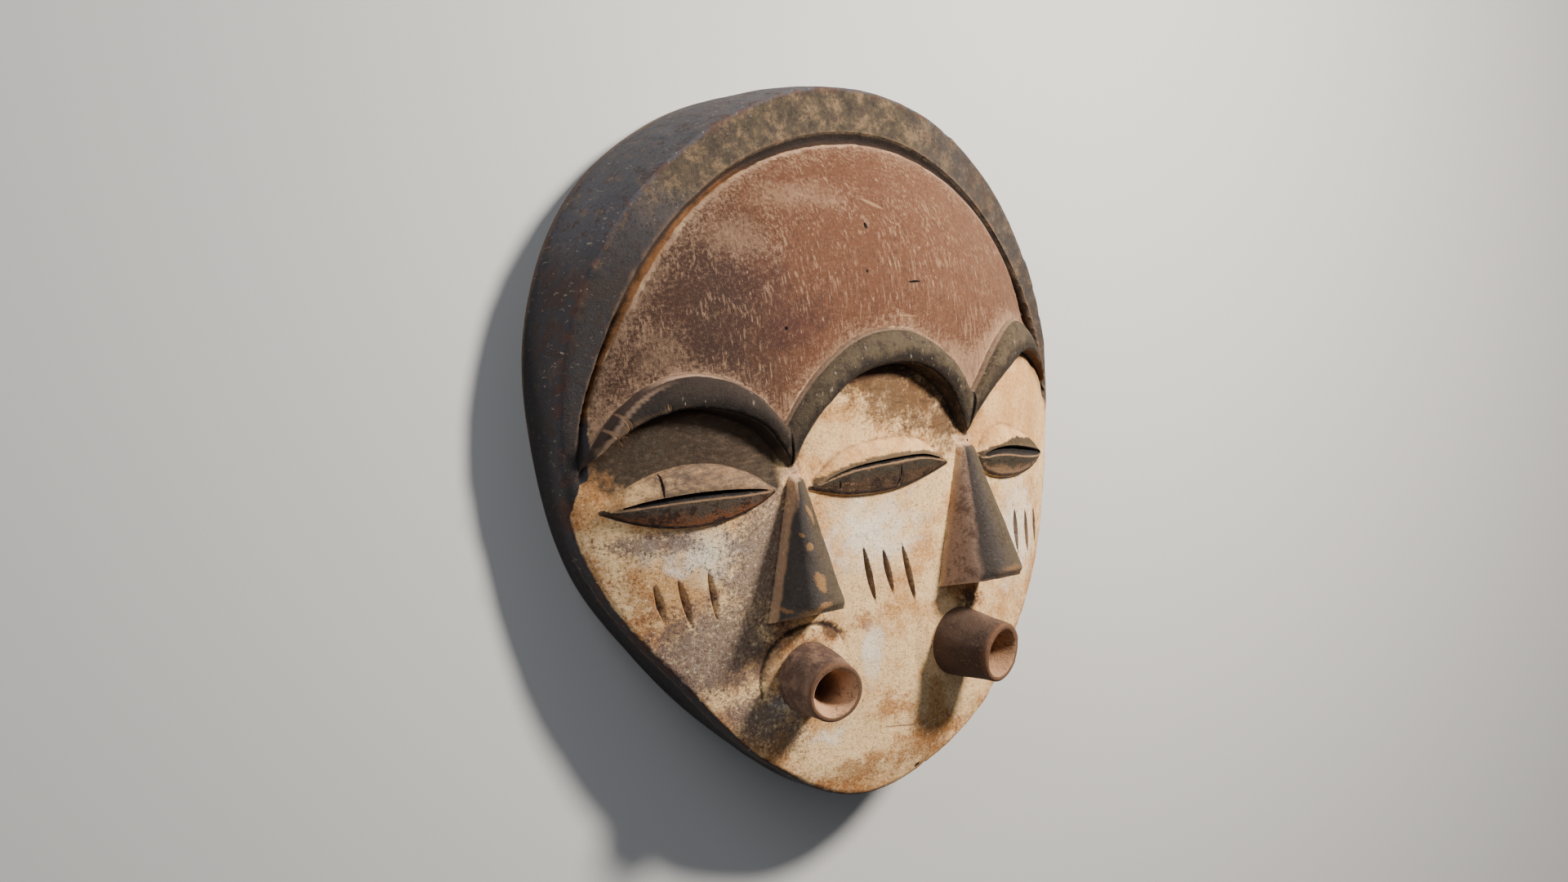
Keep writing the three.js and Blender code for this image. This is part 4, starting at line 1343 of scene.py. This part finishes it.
def groove_paint(finish, n, out):
    """The wall of the forehead panel: orange on the left, dark brown with a black foot elsewhere."""
    left = (-35.0 - finish.x + 20.0 * n.mottle).between(0.0, 30.0)
    colour = finish.blend(STRIP_BROWN, STRIP_ORANGE, left)
    colour = colour.coat(STRIP_BROWN, (n.mottle + n.speck).between(0.04, 0.24) * 0.5)
    colour = colour.coat(HAIR_BLACK, (36.0 - finish.y + 20.0 * n.mottle).between(0.0, 9.0))
    shade = (out - 1.4 + 2.0 * n.mottle).between(-0.6, 1.2)
    return colour.coat(BROW_DARK, shade * 0.9)


def brow_paint(finish, n):
    """Dark brows, darkest at the foot, with a worn bevel and a pale line along the top."""
    top, foot = finish.zone("brow_top"), finish.zone("brow_foot")
    colour = finish.blend(BROW_GREY, BROW_OLIVE, (finish.x + 60.0 + 30.0 * n.mottle).between(-15.0, 15.0))
    colour = colour.coat(SOOT_BROWN, (n.mottle + n.speck).between(0.0, 0.2) * 0.6)
    colour = colour.coat(BROW_DARK, (0.6 * n.mottle + n.fine).between(-0.08, 0.16) * 0.6)
    colour = colour.coat(BROW_DARK, (7.5 - foot + 9.0 * n.mottle).between(0.0, 6.5) * 0.9)
    flecks = finish.noise(1.5, 3, (1, 3, 1)).between(0.13, 0.2) * finish.noise(12, 2).between(-0.05, 0.1)
    colour = colour.coat(FLECK, flecks * 0.7)
    left = finish.left_of(-72.0, 40.0)
    bevel = (0.8 * left * finish.right_of(-150.0, 30.0) - top + 0.8 * n.mottle).between(-0.4, 0.6)
    colour = colour.coat(BEVEL_PINK, bevel * (0.8 - n.fine))
    tail = finish.left_of(-108.0, 16.0)
    worn = (0.15 + 0.1 * left - top + 0.3 * n.mottle).between(-0.2, 0.2) * (1.0 - tail)
    crest = (top - 0.9 + n.fine).between(-0.6, 0.6) * (2.2 - top + n.mottle).between(-0.6, 0.8) * tail
    return colour.coat(PINK_CREAM, worn * (0.3 + 0.4 * left) + crest * 0.38)


def socket_paint(finish, n, face):
    """Brown on the left, brushed across; clay with a brown wash in the other sockets, partly painted shade,
    and painted shade along the brows' feet.
    """
    foot, stain_and_shade = finish.zone("brow_foot"), finish.zone("brown")
    left = (-62.0 - finish.x).between(-3.0, 3.0)
    marks = finish.noise(1.6, 4, (5, 1, 1))
    brown = finish.blend(SOCKET_BROWN, BROW_DARK, (marks + 0.5 * n.fine).between(0.0, 0.16) * 0.6)
    brown = brown.coat(LID_GREY, (-0.02 - marks).between(0.0, 0.12) * 0.7)
    end = (-135.0 - finish.x - 0.6 * finish.y + 26.0 * n.mottle).between(0.0, 10.0)
    colour = face.coat(KAOLIN_WARM, 0.12 + 0.4 * finish.right_of(RIGHT_GAP, 6.0))
    colour = colour.coat(brown, left * (1.0 - end) * 0.95)
    # painted shade: darker below the brow's foot; the wash in the middle socket is partly painted shade
    under = (9.0 - foot + 10.0 * n.mottle).between(0.0, 8.0)
    streaks = finish.noise(2.6, 4, (5, 1, 1)).between(0.02, 0.16) * (stain_and_shade + 0.2).between(0.0, 0.7)
    wash = (stain_and_shade + 0.8 * n.mottle + n.fine).between(0.0, 0.9) * (1.0 - left)
    colour = colour.coat(STAIN_AND_SHADE_BROWN, under * 0.55 + streaks * 0.4 + wash * 0.4)
    # painted shade: a dark line right along the brow's foot
    return colour.coat(SHADE_AND_GRIME, (1.6 - foot).between(0.0, 1.2) * 0.8)


def lid_paint(finish, n, face):
    """Pale upper lid; lower lid grey above and brown below, with a line of painted shade along its foot, and
    the slits painted dark as painted shade.
    """
    across, inside = finish.zone("lid_across"), finish.zone("lid")
    slit, slit_away = finish.zone("slit"), finish.zone("slit_away")
    middle = finish.right_of(LEFT_GAP, 6.0)
    strokes = finish.noise(1.8, 4, (5, 1, 1))
    upper = face.coat(KAOLIN_WARM, 0.4)
    worn_lid = (finish.x + 130.0 + 30.0 * n.mottle).between(-8.0, 12.0) * (1.0 - middle)
    upper = upper.coat(UPPER_LID, worn_lid * (0.85 - strokes * 1.4))
    right = finish.right_of(RIGHT_GAP, 4.0)
    strip = 2.0 + 3.2 * finish.right_of(76.0, 20.0)
    low = (strip - slit_away + 1.6 * n.mottle + 0.8 * n.fine).between(-0.2, 0.9)
    upper = upper.coat(LID_OLIVE, low * (0.3 + 0.6 * middle))
    upper = upper.coat(BROW_DARK, low * right * (0.45 + n.fine))
    brown = (across - 0.5 + 1.3 * n.mottle).between(-0.1, 0.3) * (1.0 - 0.75 * middle)
    lower = finish.blend(LID_GREY, LID_OLIVE, middle).coat(LID_BROWN, brown)
    lower = lower.coat(BROW_DARK, (n.mottle + n.fine + 0.5 * strokes).between(-0.02, 0.14) * 0.85)
    tan = right * (across - 0.66 + 0.8 * n.mottle + n.fine).between(-0.15, 0.2)
    lower = lower.coat(DUST, tan * 0.6)
    chalky = (strokes + 0.8 * n.fine).between(0.08, 0.24) * finish.right_of(LEFT_GAP, 4.0)
    lower = lower.coat(DUST, chalky * finish.left_of(14.0, 24.0) * 0.8)
    colour = upper.coat(lower, across.between(-0.02, 0.06))
    # painted shade: a dark line along the foot of the lower lid
    foot = across.between(0.4, 0.6) * (1.5 - inside + 1.2 * n.mottle).between(-0.2, 0.8)
    colour = colour.coat(SHADE_AND_GRIME, foot * 0.9)
    ridge = (across - 0.02).between(0.0, 0.06) * (slit + 0.95 + 0.5 * n.mottle).between(0.0, 0.35)
    colour = colour.coat(DUST, ridge * 0.9)
    # painted shade: the slits are shallow cuts, painted grey to black like the dark of an open slit
    hollow = finish.blend(SLIT_SHADE_GREY, BLACK, (1.9 - slit_away + 1.2 * n.mottle).between(0.0, 0.8))
    return colour.coat(hollow, (slit + 0.1).between(0.0, 0.25))


def nose_paint(finish, n, face):
    """Charcoal and olive, bare wood where worn, and clay again along the foot."""
    height, across = finish.zone("nose"), finish.zone("nose_across")
    right = finish.right_half()
    colour = finish.blend(CHARCOAL, NOSE_OLIVE, (across + 0.22 + 0.25 * n.mottle).between(0.0, 0.35) * 0.85)
    colour = colour.coat(BLACK, (n.fine + 0.5 * n.mottle).between(0.0, 0.15) * 0.35)
    colour = colour.coat(FLECK, (-n.fine).between(0.1, 0.2) * 0.5)
    flank = (-0.4 - across + 0.12 * n.mottle).between(-0.04, 0.06) * right
    colour = colour.coat(FLANK_BROWN, flank * 0.9)
    colour = colour.coat(TUBE_DARK, flank * (n.mottle + n.fine).between(-0.04, 0.2) * 0.7)
    root = (finish.y - 2.0 + 10.0 * n.mottle).between(-6.0, 6.0)
    colour = colour.coat(FLANK_BROWN, root * 0.7)
    worn = (finish.zone("worn") + 2.0 * n.fine - 0.2 * right - 0.15).between(0.0, 0.3)
    colour = colour.coat(WORN_TAN, worn * (0.75 - 0.4 * right))
    left_foot = (-0.15 - across).between(0.0, 0.15) * (1.0 - right)
    bare = (3.4 + 4.6 * left_foot - height + 5.0 * n.mottle + 5.0 * n.fine).between(-1.0, 2.4)
    # painted shadow greys the clay at the foot of the left nose's outer flank
    rubbed = face.coat(KAOLIN_WARM, 0.5).coat(SHADOW_GREY, left_foot * 0.35)
    return colour.coat(rubbed, bare * (1.0 - 0.5 * right))


def tube_paint(finish, n):
    """Brown barrels with a lighter lip, the right one with painted shade on its shaded side."""
    run = finish.zone("tube")
    colour = finish.blend(TUBE_BROWN, TUBE_DARK, (n.broad + n.mottle + 0.4 * n.speck).between(-0.12, 0.16))
    # painted shade on the left side of the right mouth
    shaded = finish.right_half() * (54.0 - finish.x + 16.0 * n.mottle).between(-8.0, 8.0)
    colour = colour.coat(SHADE_AND_GRIME, shaded * 0.75)
    dusty = (n.mottle + n.speck).between(0.04, 0.3)
    colour = colour.coat(DUST, dusty * 0.22)
    lip = (run - MOUTH_LENGTH + 3.0 + 2.0 * n.mottle).between(0.0, 2.4)
    return colour.coat(LIP_TAN, lip * 0.8)


def bore_paint(finish, n):
    """Pinkish bare wood, with painted shade deep down and over all of the right bore."""
    deep = (MOUTH_LENGTH - 6.0 - finish.zone("tube") + 4.0 * n.mottle).between(0.0, 10.0)
    colour = finish.blend(BORE_PINK, STAIN_AND_SHADE_BROWN, (n.mottle + n.speck).between(0.05, 0.25) * 0.5)
    # painted shade over the right bore
    colour = colour.coat(STAIN_AND_SHADE_BROWN, finish.right_half() * 0.4)
    # painted shade, darker deeper down the bore
    return colour.coat(SHADE_AND_GRIME, deep * 0.7)


class Noises:
    """The mottling and grain that all the paints share."""

    def __init__(self, finish):
        self.broad, self.mottle = finish.noise(26, 2), finish.noise(7, 4)
        self.speck, self.grit = finish.noise(1.5, 3), finish.noise(0.6, 2)
        self.fine = finish.noise(1.7, 6, roughness=0.8)


def brows_and_lids(finish, n, face):
    """The clay with the paint of sockets, forehead, band, brows and lids over it."""
    hair, groove, forehead, socket, brow, lid = (
        finish.zone(name) for name in ("hair", "groove", "forehead", "socket", "brow", "lid"))
    colour = face.coat(socket_paint(finish, n, face), (socket + 0.6).between(0.0, 0.8))
    colour = colour.coat(forehead_paint(finish, n, forehead), (forehead + 0.5 + n.mottle).between(0.0, 0.6))
    colour = colour.coat(groove_paint(finish, n, groove), (groove + n.mottle).between(0.0, 0.5))
    colour = colour.coat(hair_paint(finish, n), (hair + 1.6 * n.mottle).between(-0.3, 0.4))
    colour = colour.coat(brow_paint(finish, n), (brow + 0.2 + 0.4 * n.mottle).between(0.0, 0.4))
    return colour.coat(lid_paint(finish, n, face), (lid + 0.4 + 0.5 * n.mottle).between(0.0, 0.4))


def cuts(finish, n, colour):
    """Dark scars and cracks, painted shade in the crease round each mouth; pale scratches."""
    scar = (finish.zone("scar") + 0.3 + 0.8 * n.speck).between(0.0, 0.5)
    colour = colour.coat(SCAR_BROWN, scar * (0.8 - 0.45 * finish.left_of(-80.0, 5.0)))
    colour = colour.coat(SHADE_AND_GRIME, (finish.zone("crack") + 0.3).between(0.0, 0.3))
    colour = colour.coat(DUST, (finish.zone("scratch") + 0.2).between(0.0, 0.3) * 0.6)
    # painted shade in the crease along the ledge round each mouth
    crease = (finish.zone("crease") + 1.0 * n.mottle).between(0.2, 0.9)
    return colour.coat(SHADE_AND_GRIME, crease * 0.85)


def noses_and_mouths(finish, n, face, colour):
    colour = colour.coat(nose_paint(finish, n, face), finish.zone("nose").between(-0.3, 0.0))
    waist = (finish.zone("waist") + 1.2 * n.speck).between(0.0, 0.4)
    colour = colour.coat(PINK_CREAM, waist * 0.6)
    colour = colour.coat(tube_paint(finish, n), finish.zone("tube").between(-0.3, 0.1))
    return colour.coat(bore_paint(finish, n), finish.zone("bore").between(0.4, 0.6))


def age_and_shade(finish, n, colour):
    """Painted shade and dirt in the hollows, dust on the edges and a fine grain over all."""
    hollow = finish.zone("hollow")
    # painted shade and dirt where the surface lies below its neighbours
    colour = colour.coat(SHADE_AND_GRIME, (hollow + 0.15 * n.mottle).between(0.05, 0.24) * 0.7)
    colour = colour.coat(DUST, (0.15 * n.mottle - hollow).between(0.05, 0.2) * 0.3)
    return colour.coat(STAIN_AND_SHADE_BROWN, (n.fine + 0.5 * n.grit).between(-0.1, 0.22) * 0.25)


def painted_wood():
    finish = Finish("painted_wood")
    n = Noises(finish)
    face = kaolin(finish, n)
    colour = brows_and_lids(finish, n, face)
    colour = cuts(finish, n, colour)
    colour = noses_and_mouths(finish, n, face, colour)
    bare = finish.blend(BARE_WOOD, BARE_WOOD_DARK, finish.noise(5, 4, (1, 8, 1)).between(-0.1, 0.15))
    colour = colour.coat(bare, finish.zone("back").between(-0.2, 0.2))
    finish.feed("Base Color", age_and_shade(finish, n, colour))
    hair = finish.zone("hair").between(0.0, 1.0)
    finish.feed("Roughness", CLAY_ROUGHNESS - HAIR_SHEEN * hair + 0.25 * n.speck)
    lift = 0.5 * n.mottle + 0.8 * n.fine + 0.4 * n.grit
    bump = {"Height": lift, "Strength": GRAIN_STRENGTH, "Distance": GRAIN_DEPTH}
    finish.feed("Normal", finish.node("ShaderNodeBump", {}, bump))
    finish.shader.inputs["Specular IOR Level"].default_value = SHINE
    return finish.material


# Camera, floor and light.
CAMERA_AT = (-1.2909, 0.1933, 1.4882)
CAMERA_RIGHT = (0.7431, -0.0990, 0.6617)
CAMERA_UP = (0.1391, 0.9902, -0.0080)
CAMERA_BACK = (-0.6545, 0.0980, 0.7497)
CAMERA_LENS, SENSOR_WIDTH = 93.75, 36.0
FLOOR_REACH = 6.0
PAPER, PAPER_ROUGHNESS = (0.55, 0.54, 0.52, 1), 0.9
SKY, SKY_STRENGTH = (0.86, 0.9, 1.0, 1), 0.13


def photographers_camera():
    data = bpy.data.cameras.new("camera")
    data.lens, data.sensor_width = CAMERA_LENS, SENSOR_WIDTH
    camera = bpy.data.objects.new("camera", data)
    bpy.context.scene.collection.objects.link(camera)
    axes = Matrix((CAMERA_RIGHT, CAMERA_UP, CAMERA_BACK)).transposed().to_4x4()
    camera.matrix_world = Matrix.Translation(CAMERA_AT) @ axes
    bpy.context.scene.camera = camera


def soft_light(name, towards, distance, size, watts, colour):
    data = bpy.data.lights.new(name, "AREA")
    data.shape, data.size, data.energy, data.color = "DISK", size, watts, colour
    light = bpy.data.objects.new(name, data)
    bpy.context.scene.collection.objects.link(light)
    direction = Vector(towards).normalized()
    light.location = direction * distance
    light.rotation_euler = direction.to_track_quat("Z", "Y").to_euler()


def pale_floor():
    r = FLOOR_REACH
    mesh = bpy.data.meshes.new("floor")
    mesh.from_pydata([(-r, -r, 0), (r, -r, 0), (r, r, 0), (-r, r, 0)], [], [(0, 1, 2, 3)])
    floor = bpy.data.objects.new("floor", mesh)
    bpy.context.scene.collection.objects.link(floor)
    paper = bpy.data.materials.new("pale paper")
    paper.use_nodes = True
    shader = paper.node_tree.nodes["Principled BSDF"]
    shader.inputs["Base Color"].default_value = PAPER
    shader.inputs["Roughness"].default_value = PAPER_ROUGHNESS
    mesh.materials.append(paper)


def pale_sky():
    world = bpy.data.worlds.new("studio")
    bpy.context.scene.world = world
    world.use_nodes = True
    background = world.node_tree.nodes["Background"]
    background.inputs["Color"].default_value = SKY
    background.inputs["Strength"].default_value = SKY_STRENGTH


def studio():
    photographers_camera()
    soft_light("key", towards=(0.42, 0.42, 0.80), distance=0.75, size=0.14, watts=14,
               colour=(1.0, 0.94, 0.86))
    soft_light("sky", towards=(-0.8, 0.5, 0.35), distance=1.6, size=1.2, watts=13,
               colour=(0.86, 0.92, 1.0))
    pale_sky()
    pale_floor()


mask = carving()
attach(mask, "root")
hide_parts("mask")
mask.data.materials.append(painted_wood())
studio()
